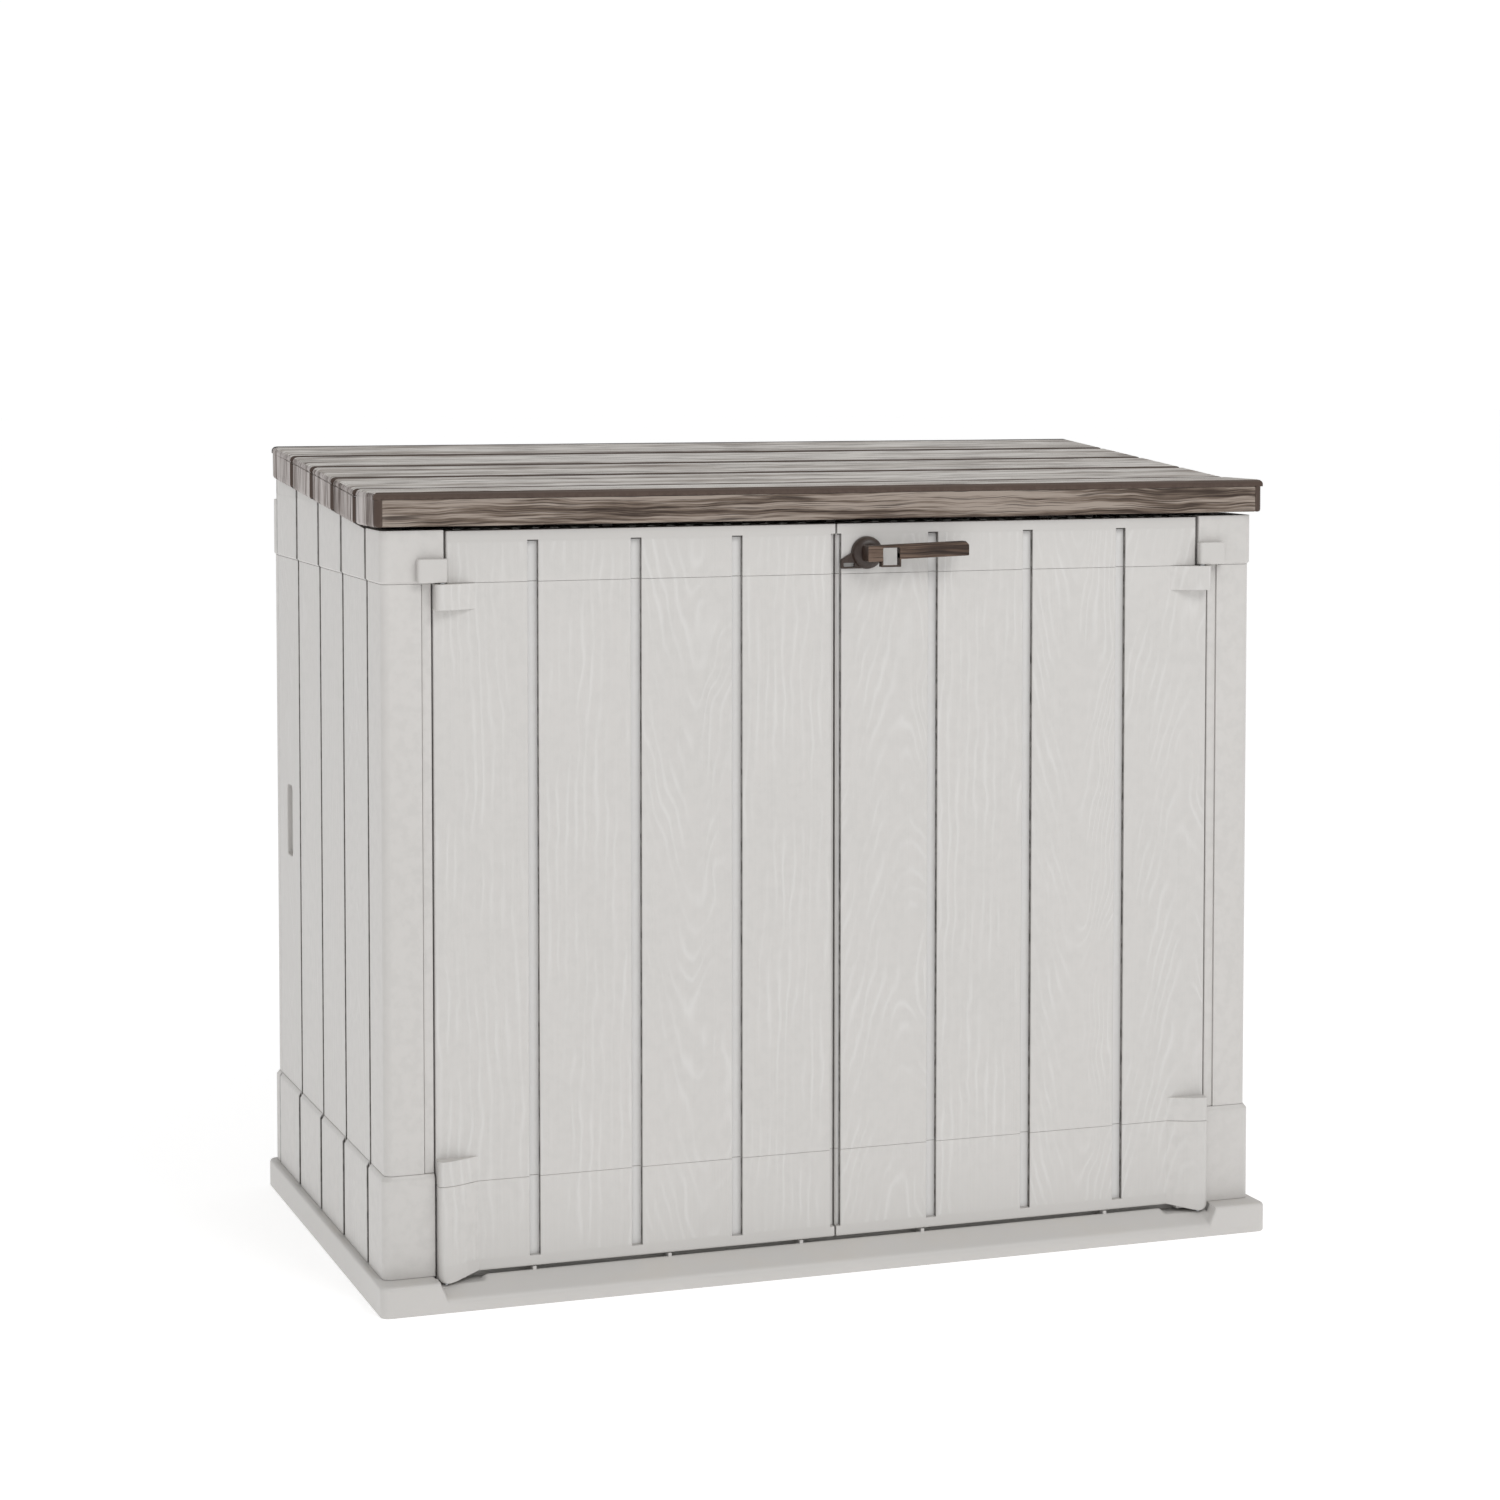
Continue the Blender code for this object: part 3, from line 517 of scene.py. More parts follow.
def addPlanks(tree, planks, place, normal, colour, height):
    # grain on the planks' faces, then painted light and shade in the grooves between them: painted light on
    # the beds, painted shade on the sides and painted shadow at the top ends
    alongX = planks["axis"] == "x"
    x, y, z = splitXyz(tree, place)
    normalX, normalY = splitXyz(tree, normal)[:2]
    across, depthAt = (x, y) if alongX else (y, x)
    facing, side = (normalY, normalX) if alongX else (normalX, normalY)
    facing, side = absolute(tree, facing), absolute(tree, side)
    run = sums(tree, "DIVIDE", minus(tree, across, planks["start"]), planks["pitch"])
    grain = placedGroup(tree, plankGrain, Across=run, Along=z, Seed=planks["seed"], Lines=planks["lines"])
    fromMiddle = absolute(tree, minus(tree, sums(tree, "FRACT", run), 0.5))
    clear = ramped(tree, fromMiddle, planks["clear"], planks["clear"] + 0.02, 1.0, 0.0)
    low = ramped(tree, z, planks["low"], planks["low"] + 0.004)
    high = ramped(tree, z, planks["high"] - 0.004, planks["high"], 1.0, 0.0)
    mask = times(tree, clear, times(tree, low, high))
    mask = times(tree, mask, ramped(tree, facing, 0.6, 0.9))
    relief = times(tree, grain["Relief"], mask)
    colour = blended(tree, times(tree, grain["Shade"], 0.35), colour, shellLook["shade"])
    colour = blended(tree, times(tree, relief, planks["light"]), colour, white)
    # how far below the face a point lies, and where that counts as a groove
    deep = absolute(tree, minus(tree, absolute(tree, depthAt), abs(planks["face"])))
    within = sums(tree, "LESS_THAN", deep, planks["deepest"])
    deep = ramped(tree, deep, planks["depth"] / 4, planks["depth"])
    aside = absolute(tree, minus(tree, across, planks["middle"]))
    inside = times(tree, ramped(tree, fromMiddle, planks["clear"] - 0.01, planks["clear"]), 0.97)
    inside = times(tree, inside, sums(tree, "LESS_THAN", aside, planks["reach"]))
    inside = times(tree, inside, sums(tree, "GREATER_THAN", aside, planks["clearMiddle"]))
    inside = times(tree, inside, within)
    # painted light on the groove beds, lifting them toward white
    paintedLightBed = times(tree, times(tree, ramped(tree, facing, 0.8, 0.95), deep), planks["paintedLightBed"])
    colour = blended(tree, times(tree, paintedLightBed, inside), colour, white)
    # painted shade on the groove sides, and on the groove floors as far as floor asks
    dark = sums(tree, "MAXIMUM", ramped(tree, side, 0.45, 0.85), planks["floor"])
    # painted shadow along the grooves' top ends
    end = ramped(tree, z, planks["high"] - 0.0026, planks["high"] - 0.0014)
    dark = sums(tree, "MAXIMUM", times(tree, dark, deep), times(tree, end, deep))
    colour = blended(tree, times(tree, dark, inside), colour, shellLook["groove"])
    return colour, plus(tree, height, relief)


def makeShell(name, planks=None):
    made, tree, shader, place, normal = startMaterial(name, shellLook["roughness"])
    skin = placedGroup(tree, mouldedSkin, Vector=place)
    colour = blended(tree, skin["Mottle"], shellLook["shade"], shellLook["colour"])
    height = times(tree, skin["Height"], 0.12)
    if planks:
        colour, height = addPlanks(tree, planks, place, normal, colour, height)
    wearAndShade = placedGroup(tree, edgeWearAndCornerShade, Vector=place)
    colour = blended(tree, times(tree, wearAndShade["Edge"], 0.35), colour, shellLook["light"])
    # painted shade in concave corners, in the grooves' painted shade colour
    colour = blended(tree, times(tree, wearAndShade["Corner"], 0.25), colour, shellLook["groove"])
    film = placedGroup(tree, dust, Vector=place, Normal=normal)
    colour = blended(tree, times(tree, film["Mask"], 0.25), colour, shellLook["film"])
    tree.links.new(colour, shader.inputs["Base Color"])
    rough = plus(tree, times(tree, skin["Mottle"], 0.14), shellLook["roughness"] - 0.07)
    rough = plus(tree, rough, times(tree, film["Mask"], 0.25))
    tree.links.new(rough, shader.inputs["Roughness"])
    addBump(tree, shader, height, shellLook["grainDepth"])
    return made


woodLook = {
    "top": (linear(138, 127, 119), linear(180, 174, 168), linear(212, 208, 203)),
    "board": (linear(52, 39, 31), linear(104, 90, 79), linear(150, 138, 128)),
    "end": (linear(88, 76, 70), linear(142, 133, 129), linear(182, 175, 172)),
    "grip": (linear(36, 25, 19), linear(72, 55, 44), linear(112, 93, 80)),
    "check": linear(50, 38, 31),
    # seam: the colour of the painted shade in the lid's plank grooves and in concave corners
    "seam": linear(30, 22, 18),
    "film": linear(200, 196, 190),
    "roughness": 0.62,
    "depth": 0.0007,
}


def makeWood(name, along, seed, palette, fineness=1.0, seamShadeWidth=0.0):
    # along is the axis that the grain follows; a seam width paints shade into the grooves between the lid's
    # planks
    made, tree, shader, place, normal = startMaterial(name, woodLook["roughness"], specular=0.35)
    x, y, z = splitXyz(tree, place)
    order = {"x": (x, y, z), "xUpright": (x, z, y), "z": (z, y, x)}[along]
    streaks = placedGroup(tree, woodStreaks, Vector=joinedXyz(tree, *order), Seed=seed, Fineness=fineness)
    tones = tree.nodes.new("ShaderNodeValToRGB")
    dark, middle, pale = woodLook[palette]
    tones.color_ramp.elements[0].color = dark
    tones.color_ramp.elements[1].color = pale
    tones.color_ramp.elements[1].position = 0.85
    tones.color_ramp.elements.new(0.4).color = middle
    tree.links.new(streaks["Tone"], tones.inputs["Fac"])
    colour = blended(tree, times(tree, streaks["Checks"], 0.75), tones.outputs["Color"], woodLook["check"])
    wearAndShade = placedGroup(tree, edgeWearAndCornerShade, Vector=place)
    # painted shade along the recessed grooves between the lid's planks
    if seamShadeWidth:
        run = sums(tree, "DIVIDE", minus(tree, y, lidFold), lidPitch)
        past = minus(tree, sums(tree, "FRACT", plus(tree, run, 0.5)), 0.5)
        past = times(tree, past, lidPitch)
        nearSide = ramped(tree, past, -seamShadeWidth, -seamShadeWidth * 0.75)
        farSide = ramped(tree, past, 0.0016, 0.0026, 1.0, 0.0)
        seam = times(tree, times(tree, nearSide, farSide), 0.97)
        colour = blended(tree, seam, colour, woodLook["seam"])
    # painted shade in concave corners, in the seams' painted shade colour
    colour = blended(tree, times(tree, wearAndShade["Corner"], 0.4), colour, woodLook["seam"])
    colour = blended(tree, times(tree, wearAndShade["Edge"], 0.25), colour, pale)
    film = placedGroup(tree, dust, Vector=place, Normal=normal)
    colour = blended(tree, times(tree, film["Mask"], 0.15), colour, woodLook["film"])
    tree.links.new(colour, shader.inputs["Base Color"])
    rough = minus(tree, woodLook["roughness"] + 0.1, times(tree, streaks["Tone"], 0.2))
    tree.links.new(rough, shader.inputs["Roughness"])
    addBump(tree, shader, streaks["Relief"], woodLook["depth"])
    return made


brownLook = {"worn": linear(140, 122, 110), "film": linear(150, 140, 130), "depth": 0.00012}


def makeBrown(name, colour, roughness):
    made, tree, shader, place, normal = startMaterial(name, roughness)
    skin = placedGroup(tree, mouldedSkin, Vector=place, Scale=1400.0)
    paler = tuple(min(1, c * 1.4) for c in colour[:3]) + (1.0,)
    shown = blended(tree, skin["Mottle"], colour, paler)
    wearAndShade = placedGroup(tree, edgeWearAndCornerShade, Vector=place, Breakup=120.0)
    shown = blended(tree, times(tree, wearAndShade["Edge"], 0.12), shown, brownLook["worn"])
    film = placedGroup(tree, dust, Vector=place, Normal=normal)
    shown = blended(tree, times(tree, film["Mask"], 0.25), shown, brownLook["film"])
    tree.links.new(shown, shader.inputs["Base Color"])
    rough = plus(tree, times(tree, skin["Mottle"], 0.2), roughness - 0.1)
    tree.links.new(rough, shader.inputs["Roughness"])
    addBump(tree, shader, skin["Height"], brownLook["depth"])
    return made


zincLook = {"pale": linear(188, 190, 193), "dull": linear(150, 152, 156), "spangles": 240.0, "depth": 0.00005}


def makeZinc():
    made, tree, shader, place = startMaterial("zincPlate", 0.3, 1.0)[:4]
    x, y, z = splitXyz(tree, place)
    brushing = joinedXyz(tree, times(tree, x, 300.0), times(tree, y, 300.0), times(tree, z, 2500.0))
    brushed = noised(tree, brushing, 1.0, 2.0)
    spangle = tree.nodes.new("ShaderNodeTexVoronoi")
    spangle.inputs["Scale"].default_value = zincLook["spangles"]
    tree.links.new(place, spangle.inputs["Vector"])
    dulled = times(tree, spangle.outputs["Distance"], 0.8)
    tree.links.new(blended(tree, dulled, zincLook["pale"], zincLook["dull"]), shader.inputs["Base Color"])
    tree.links.new(plus(tree, times(tree, brushed, 0.2), 0.22), shader.inputs["Roughness"])
    addBump(tree, shader, brushed, zincLook["depth"])
    return made


lidShape = {
    "nose": 0.119,
    "planks": 4,
    "panel": 0.010,
    "boardDepth": 0.036,
    "grooveSlope": 0.018,
    "grooveWall": 0.0012,
    "grooveDepth": 0.0068,
    "notch": 0.0042,
    "edge": 0.004,
    "endRound": 0.007,
    "relief": 0.00055,
    "across": 0.0022,
    "acrossFine": 0.0007,
    "along": 0.0135,
}
panelLow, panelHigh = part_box("lid_top_panel")
lidFold = panelLow.y + lidShape["nose"]
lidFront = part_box("lid_front_board")[1].z + lidShape["panel"] + 0.0003
lidPitch = (panelHigh.y - lidFold) / lidShape["planks"]

# How each planked face is grained. The grain reaches clear plank widths to each side of a plank's middle,
# and reach, clearMiddle and deepest bound the painted light and shade in the grooves.
doorPlank = 0.143
doorLook = {
    "axis": "x",
    "start": 0.0,
    "pitch": doorPlank,
    "seed": 2.0,
    "lines": 11.0,
    "clear": 0.44,
    "low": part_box("door_left_lower")[0].z + 0.022,
    "high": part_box("door_left_upper")[1].z - 0.0135,
    "face": body["doorFace"],
    "depth": 0.003,
    "light": 0.12,
    # painted light on the door grooves' beds
    "paintedLightBed": 0.4,
    "floor": 0.0,
    "middle": 0.0,
    "reach": 0.5,
    "clearMiddle": 0.004,
    "deepest": 0.0085,
}
wallLook = {
    "clear": 0.455,
    "low": 0.05,
    "depth": 0.0008,
    "light": 0.07,
    "paintedLightBed": 0.0,
    # floor paints shade onto the groove floors of the side and rear walls
    "floor": 0.6,
    "clearMiddle": -1.0,
    "deepest": 0.0085,
}
sidePitch = (body["rearSeam"] - body["sideSeam"]) / 4
sideLook = {
    **wallLook,
    "axis": "y",
    "start": body["sideSeam"],
    "pitch": sidePitch,
    "seed": 5.0,
    "lines": 13.0,
    "high": 1.05,
    "face": body["half"],
    "middle": (body["rearSeam"] + body["sideSeam"]) / 2,
    "reach": sidePitch * 2 - 0.0015,
}
rearPitch = body["half"] / 4
rearLook = {
    **wallLook,
    "axis": "x",
    "start": -body["half"],
    "pitch": rearPitch,
    "seed": 9.0,
    "lines": 15.0,
    "high": 1.03,
    "face": body["rearFace"],
    "middle": 0.0,
    "reach": body["half"] - 0.004,
}
doorShell = makeShell("doorShell", doorLook)
sideShell = makeShell("sideShell", sideLook)
rearShell = makeShell("rearShell", rearLook)
plainShell = makeShell("plainShell")
lidTopWood = makeWood("lidTopWood", "x", 1.0, "top", 1.3, 0.0172)
lidBoardWood = makeWood("lidBoardWood", "xUpright", 6.0, "board", 2.2)
lidEndWood = makeWood("lidEndWood", "z", 11.0, "end", 1.1, 0.0085)
gripWood = makeWood("gripWood", "xUpright", 17.0, "grip", 2.6)
deepBrown = makeBrown("deepBrown", linear(42, 29, 22), 0.38)
lidBrown = makeBrown("lidBrown", linear(58, 42, 32), 0.5)
zincPlate = makeZinc()
print("deck box: materials made")


bodyLayers = ("lower", "middle", "upper")
ledgeAt = {"lower": "top", "middle": None, "upper": "bottom"}
wallShape = {
    "thickness": 0.016,
    "grooveWidth": 0.0092,
    "grooveDepth": 0.0060,
    "grooveFloor": 0.7,
    "lip": 0.0009,
    "seamEdge": 0.0005,
    "ledge": 0.006,
}


def layerStations(low, high, layer):
    # (place, inset, share of the layer's overhang); the lower and upper layers step back at a ledge
    edge = wallShape["seamEdge"]
    made = [(z, amount, 1.0) for z, amount in easedEnds(low, high, edge, 2)]
    if ledgeAt[layer] == "top":
        made = [s for s in made if s[0] < high - wallShape["ledge"]]
        made += [(high - wallShape["ledge"], 0.0, 1.0), (high - edge, 0.0, 0.12), (high, edge, 0.0)]
    if ledgeAt[layer] == "bottom":
        made = [(low, edge, 0.0), (low + edge, 0.0, 0.1), (low + 0.003, 0.0, 1.0)] + made[3:]
    return made


def wallOutline(side, outer, inner, start, end):
    # four planks with three whole grooves between them, and half a groove at the front post
    pitch = (end - start) / 4
    half = wallShape["grooveWidth"] / 2
    flat = half * wallShape["grooveFloor"]
    floor = body["half"] - wallShape["grooveDepth"]
    corners = [(inner, start), (floor, start), (floor, start + flat), (outer, start + half)]
    for i in range(1, 4):
        at = start + i * pitch
        corners += [(outer, at - half), (floor, at - flat), (floor, at + flat), (outer, at + half)]
    corners += [(outer, end), (inner, end)]
    return [(side * a, b) for a, b in eased(corners, wallShape["lip"], 2)]


def makeSideWall(side, word, layer):
    node = f"{word}_wall_{layer}"
    low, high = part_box(node)
    proud = max(abs(low.x), abs(high.x)) - body["half"]
    # the upper layer's top edge climbs to the back with the lid
    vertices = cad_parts[node].data.vertices
    frontTop = max(v.co.z for v in vertices if abs(v.co.y - low.y) < 0.001)
    rise = high.z - frontTop
    rings = []
    for z, amount, share in layerStations(low.z, frontTop if layer == "upper" else high.z, layer):
        outer = body["half"] + proud * share
        climb = smoothStep(z, low.z + 0.02, frontTop - 0.01) if layer == "upper" else 0.0
        ring = []
        for x, y in inset(wallOutline(side, outer, body["wallInner"], low.y, high.y), amount):
            ring.append(Vector((x, y, z + climb * rise * (y - low.y) / (high.y - low.y))))
        rings.append(ring)
    shape = bmesh.new()
    addLoft(shape, rings)
    if layer == "middle":
        shape = cutOut(shape, handSlotCutter(side, high.y))
    name = f"side{word.title()}{layer.title()}"
    finished(shape, name, sideShell, "cabinet", [node])


slotShape = {
    "width": 0.038,
    "height": 0.104,
    "depth": 0.009,
    "middle": 0.569,
    "corner": 0.008,
    "lip": 0.0012,
    "foot": 0.002,
    "clear": 0.003,
}


def handSlotCutter(side, wallEnd):
    s = slotShape
    middle = wallEnd - sidePitch / 2
    a, b = s["width"] / 2, s["height"] / 2
    z = s["middle"]
    corners = [(middle - a, z - b), (middle + a, z - b), (middle + a, z + b), (middle - a, z + b)]
    outline = eased(corners, s["corner"], 5)
    face = body["half"]
    stations = [
        (face + s["clear"], -s["lip"]),
        (face, -s["lip"]),
        (face - s["lip"], 0.0),
        (face - s["depth"] + s["foot"], 0.0),
        (face - s["depth"], s["foot"]),
    ]
    rings = [[Vector((side * at, p[0], p[1])) for p in inset(outline, amount)] for at, amount in stations]
    cutter = bmesh.new()
    addLoft(cutter, rings)
    return cutter


postShape = {"corner": 0.011, "turns": 7, "strip": 0.0125, "step": 0.002, "groove": 0.0032, "edge": 0.001}


def postOutline(outer, face, nearEdge, seamAt, layer):
    # from the inside round the outer corner to the door opening, with half a groove at the side wall
    s = postShape
    inner = body["wallInner"]
    floor = outer - wallShape["grooveDepth"]
    half = wallShape["grooveWidth"] / 2
    radius = s["corner"]
    outline = [(inner, seamAt), (floor, seamAt)]
    outline += [(floor, seamAt - half * wallShape["grooveFloor"]), (outer, seamAt - half)]
    outline += arcPoints((outer - radius, face + radius), radius, 0, -90, s["turns"])
    step = 0.0
    if layer == "middle":
        # the jamb strip is set back, with a narrow groove along its outer edge
        strip = nearEdge + s["strip"]
        step = s["step"]
        outline += [(strip + 0.0014, face), (strip + 0.0012, face + s["groove"])]
        outline += [(strip + 0.0003, face + s["groove"]), (strip, face + step)]
    outline += [(nearEdge + s["edge"], face + step), (nearEdge, face + step + s["edge"])]
    back = body["doorFace"] + wallShape["thickness"]
    return outline + [(nearEdge, back), (inner, back)]


def makeFrontPost(side, word, layer):
    node = f"front_post_{word}_{layer}"
    low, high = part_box(node)
    nearEdge = min(abs(low.x), abs(high.x))
    proud = max(abs(low.x), abs(high.x)) - body["half"]
    rings = []
    for z, amount, share in layerStations(low.z, high.z, layer):
        outer = body["half"] + proud * share
        face = body["doorFace"] - proud * share
        outline = inset(postOutline(outer, face, nearEdge, high.y, layer), amount)
        rings.append([Vector((side * x, y, z)) for x, y in outline])
    shape = bmesh.new()
    addLoft(shape, rings)
    name = f"post{word.title()}{layer.title()}"
    finished(shape, name, plainShell, "cabinet", [node])


def rearOutline(outer, face, seamAt):
    # round both rear corners, with seven grooves between them
    radius, turns = postShape["corner"], postShape["turns"]
    inner = body["wallInner"]
    half = wallShape["grooveWidth"] / 2
    flat = half * wallShape["grooveFloor"]
    floor = body["rearFace"] - wallShape["grooveDepth"]
    ease = 0.0006
    outline = [(inner, seamAt), (outer, seamAt)]
    outline += arcPoints((outer - radius, face - radius), radius, 0, 90, turns)
    for i in range(1, 8):
        at = body["half"] - i * rearPitch
        outline += [(at + half + ease, face), (at + half, face - ease), (at + flat, floor)]
        outline += [(at - flat, floor), (at - half, face - ease), (at - half - ease, face)]
    outline += arcPoints((radius - outer, face - radius), radius, 90, 180, turns)
    outline += [(-outer, seamAt), (-inner, seamAt)]
    back = body["rearFace"] - wallShape["thickness"]
    return outline + [(-inner, back), (inner, back)]


def makeRearWall(layer):
    node = f"rear_wall_{layer}"
    low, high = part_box(node)
    proud = high.x - body["half"]
    rings = []
    for z, amount, share in layerStations(low.z, high.z, layer):
        outline = rearOutline(body["half"] + proud * share, body["rearFace"] + proud * share, low.y)
        rings.append([Vector((x, y, z)) for x, y in inset(outline, amount)])
    shape = bmesh.new()
    addLoft(shape, rings)
    finished(shape, f"rear{layer.title()}", rearShell, "cabinet", [node])


ribShape = {
    "spacing": 0.072,
    "width": 0.003,
    "height": 0.005,
    "edge": 0.001,
    "spans": ((0.066, 0.176), (0.181, 0.955)),
    "sideSpan": (0.960, 1.010),
    "rearSpan": (0.960, 1.034),
    "levels": (0.33, 0.48, 0.63, 0.78),
    "levelHeight": 0.8,
}


def makeInnerRibs():
    # stiffening ribs inside the walls, seen with a door or the lid open
    s = ribShape
    shape = bmesh.new()
    inner = body["wallInner"]
    back = body["rearFace"] - wallShape["thickness"]
    edge = s["edge"]
    half = s["width"] / 2

    def sideRib(side, height, y0, y1, z0, z1):
        a, b = sorted((side * (inner + edge), side * (inner - height)))
        addBox(shape, (a, y0, z0), (b, y1, z1), edge)

    def rearRib(height, x0, x1, z0, z1):
        addBox(shape, (x0, back - height, z0), (x1, back + edge, z1), edge)

    for side in (-1, 1):
        y = body["sideSeam"] + 0.03
        while y < body["rearSeam"] - 0.02:
            for z0, z1 in (*s["spans"], s["sideSpan"]):
                sideRib(side, s["height"], y - half, y + half, z0, z1)
            y += s["spacing"]
    x = -inner + 0.04
    while x < inner - 0.03:
        for z0, z1 in (*s["spans"], s["rearSpan"]):
            rearRib(s["height"], x - half, x + half, z0, z1)
        x += s["spacing"]
    low = s["height"] * s["levelHeight"]
    for z in s["levels"]:
        rearRib(low, -inner, inner, z, z + s["width"])
        for side in (-1, 1):
            sideRib(side, low, body["sideSeam"] + 0.01, body["rearSeam"], z, z + s["width"])
    finished(shape, "innerRibs", plainShell, "cabinet")


plinthShape = {
    "corner": 0.012,
    "edge": 0.006,
    "padTop": 0.041,
    "padSlant": 0.0095,
    "rampFront": 0.016,
    "rampBack": 0.0365,
    "sillTop": 0.060,
    "nose": 0.0145,
    "swing": 0.055,
    "swingFloor": 0.0305,
    "fine": 0.0022,
    "padZone": (0.49, 0.612),
    "frontZone": -0.288,
    "rearZone": (0.328, 0.344),
    "rimZone": 0.008,
    "stops": (-0.43, -0.24, -0.05, 0.13, 0.41),
    "stopWidth": 0.005,
    "stopTop": 0.0408,
}


def gradedLine(parts):
    # places from (start, end, step) stretches
    made = []
    for start, end, step in parts:
        count = max(1, round((end - start) / step))
        made += [start + (end - start) * i / count for i in range(count)]
    return made + [parts[-1][1]]


plinthLow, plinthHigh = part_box("base_plinth")
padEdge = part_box("front_post_right_middle")[0].x
stopAt = body["doorBack"] + 0.0035
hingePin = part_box("upper_hinge_pin_right")
hingeAt = Vector(((hingePin[0].x + hingePin[1].x) / 2, (hingePin[0].y + hingePin[1].y) / 2))


def plinthHeight(x, y):
    s = plinthShape
    low, high = plinthLow, plinthHigh
    near = abs(x)
    # ramp between the pads, with a sill behind the doors
    t = min(1, max(0, (y - low.y) / (body["doorFace"] - low.y)))
    ramp = s["rampFront"] + (s["rampBack"] - s["rampFront"]) * t
    pad = smoothStep(near, padEdge - s["padSlant"], padEdge + 0.002)
    behind = smoothStep(y, stopAt + 0.008, stopAt + 0.011)
    height = ramp + (s["padTop"] - ramp) * max(pad, behind)
    sill = smoothStep(y, stopAt - 0.001, stopAt + 0.0015)
    sill *= 1 - smoothStep(y, stopAt + 0.0085, stopAt + 0.0105)
    sill *= 1 - smoothStep(near, padEdge - 0.003, padEdge)
    height += (s["sillTop"] - height) * sill
    # hollows where the hinge noses turn, and a trough behind the doors' face
    onRamp = 1 - smoothStep(near, padEdge - 0.002, padEdge)
    away = (Vector((near, y)) - hingeAt).length
    recess = 1 - smoothStep(away, s["nose"] - 0.001, s["nose"] + 0.0015)
    inRamp = (1 - smoothStep(away, s["swing"] - 0.006, s["swing"] + 0.004)) * onRamp
    trough = smoothStep(y, body["doorFace"] + 0.002, body["doorFace"] + 0.006) * onRamp
    recess = max(recess, inRamp, trough) * (1 - smoothStep(y, stopAt - 0.002, stopAt))
    if height > s["swingFloor"]:
        height += (s["swingFloor"] - height) * recess
    # the floor tray
    trayHalf = body["wallInner"] - 0.010
    trayBack = body["rearFace"] - 0.026
    tray = smoothStep(y, stopAt + 0.0095, stopAt + 0.012)
    tray *= 1 - smoothStep(y, trayBack - 0.002, trayBack + 0.002)
    tray *= 1 - smoothStep(near, trayHalf - 0.002, trayHalf + 0.002)
    height += (body["floor"] - height) * tray
    edge = min(high.x - near, high.y - y, y - low.y)
    if edge < s["edge"]:
        inward = s["edge"] - edge
        height -= (s["edge"] - math.sqrt(max(0, s["edge"] ** 2 - inward ** 2))) * 0.8
    return height


def roundedCorner(x, y):
    # draws the square corners of a grid in to round ones
    cornerX, cornerY = plinthHigh.x - plinthShape["corner"], plinthHigh.y - plinthShape["corner"]
    dx, dy = abs(x) - cornerX, abs(y) - cornerY
    if dx <= 0 or dy <= 0:
        return x, y
    scale = max(dx, dy) / math.hypot(dx, dy)
    return math.copysign(cornerX + dx * scale, x), math.copysign(cornerY + dy * scale, y)


def makePlinth():
    # a height field that is fine where the pads, the ramp and the sill are
    s = plinthShape
    low, high = plinthLow, plinthHigh
    fine, rim = s["fine"], s["rimZone"]
    padStart, padEnd = s["padZone"]
    rearStart, rearEnd = s["rearZone"]
    right = gradedLine([
        (0, padStart, 0.035),
        (padStart, padEnd, fine),
        (padEnd, high.x - rim, 0.006),
        (high.x - rim, high.x, 0.001),
    ])
    xs = [-x for x in reversed(right[1:])] + right
    ys = gradedLine([
        (low.y, low.y + rim, 0.001),
        (low.y + rim, s["frontZone"], fine),
        (s["frontZone"], rearStart, 0.044),
        (rearStart, rearEnd, fine),
        (rearEnd, high.y - rim, 0.005),
        (high.y - rim, high.y, 0.001),
    ])
    shape = bmesh.new()
    grid = [[shape.verts.new((*roundedCorner(x, y), plinthHeight(x, y))) for x in xs] for y in ys]
    for row, after in zip(grid, grid[1:]):
        for i in range(len(xs) - 1):
            shape.faces.new((row[i], row[i + 1], after[i + 1], after[i]))
    # the sides go down from the grid's border to a slightly drawn-in foot
    border = grid[0][:-1] + [row[-1] for row in grid[:-1]]
    border += list(reversed(grid[-1][1:])) + [row[0] for row in reversed(grid[1:])]
    last = border
    for z, shrink in ((0.0015, 1.0), (0.0, 0.9985)):
        ring = [shape.verts.new((v.co.x * shrink, v.co.y * shrink, z)) for v in border]
        for i in range(len(ring)):
            j = (i + 1) % len(ring)
            shape.faces.new((last[i], last[j], ring[j], ring[i]))
        last = ring
    shape.faces.new(last)
    # small stops across the trough
    half = s["stopWidth"] / 2
    for x in s["stops"]:
        start = (x - half, body["doorFace"] - 0.001, 0.032)
        addBox(shape, start, (x + half, stopAt + 0.002, s["stopTop"]), 0.0007)
    finished(shape, "plinth", plainShell, "cabinet", ["base_plinth"], 40)


railShape = {"lipDepth": 0.0155, "lipHeight": 0.018, "pitch": 0.027, "tooth": 0.005, "clear": 0.016}


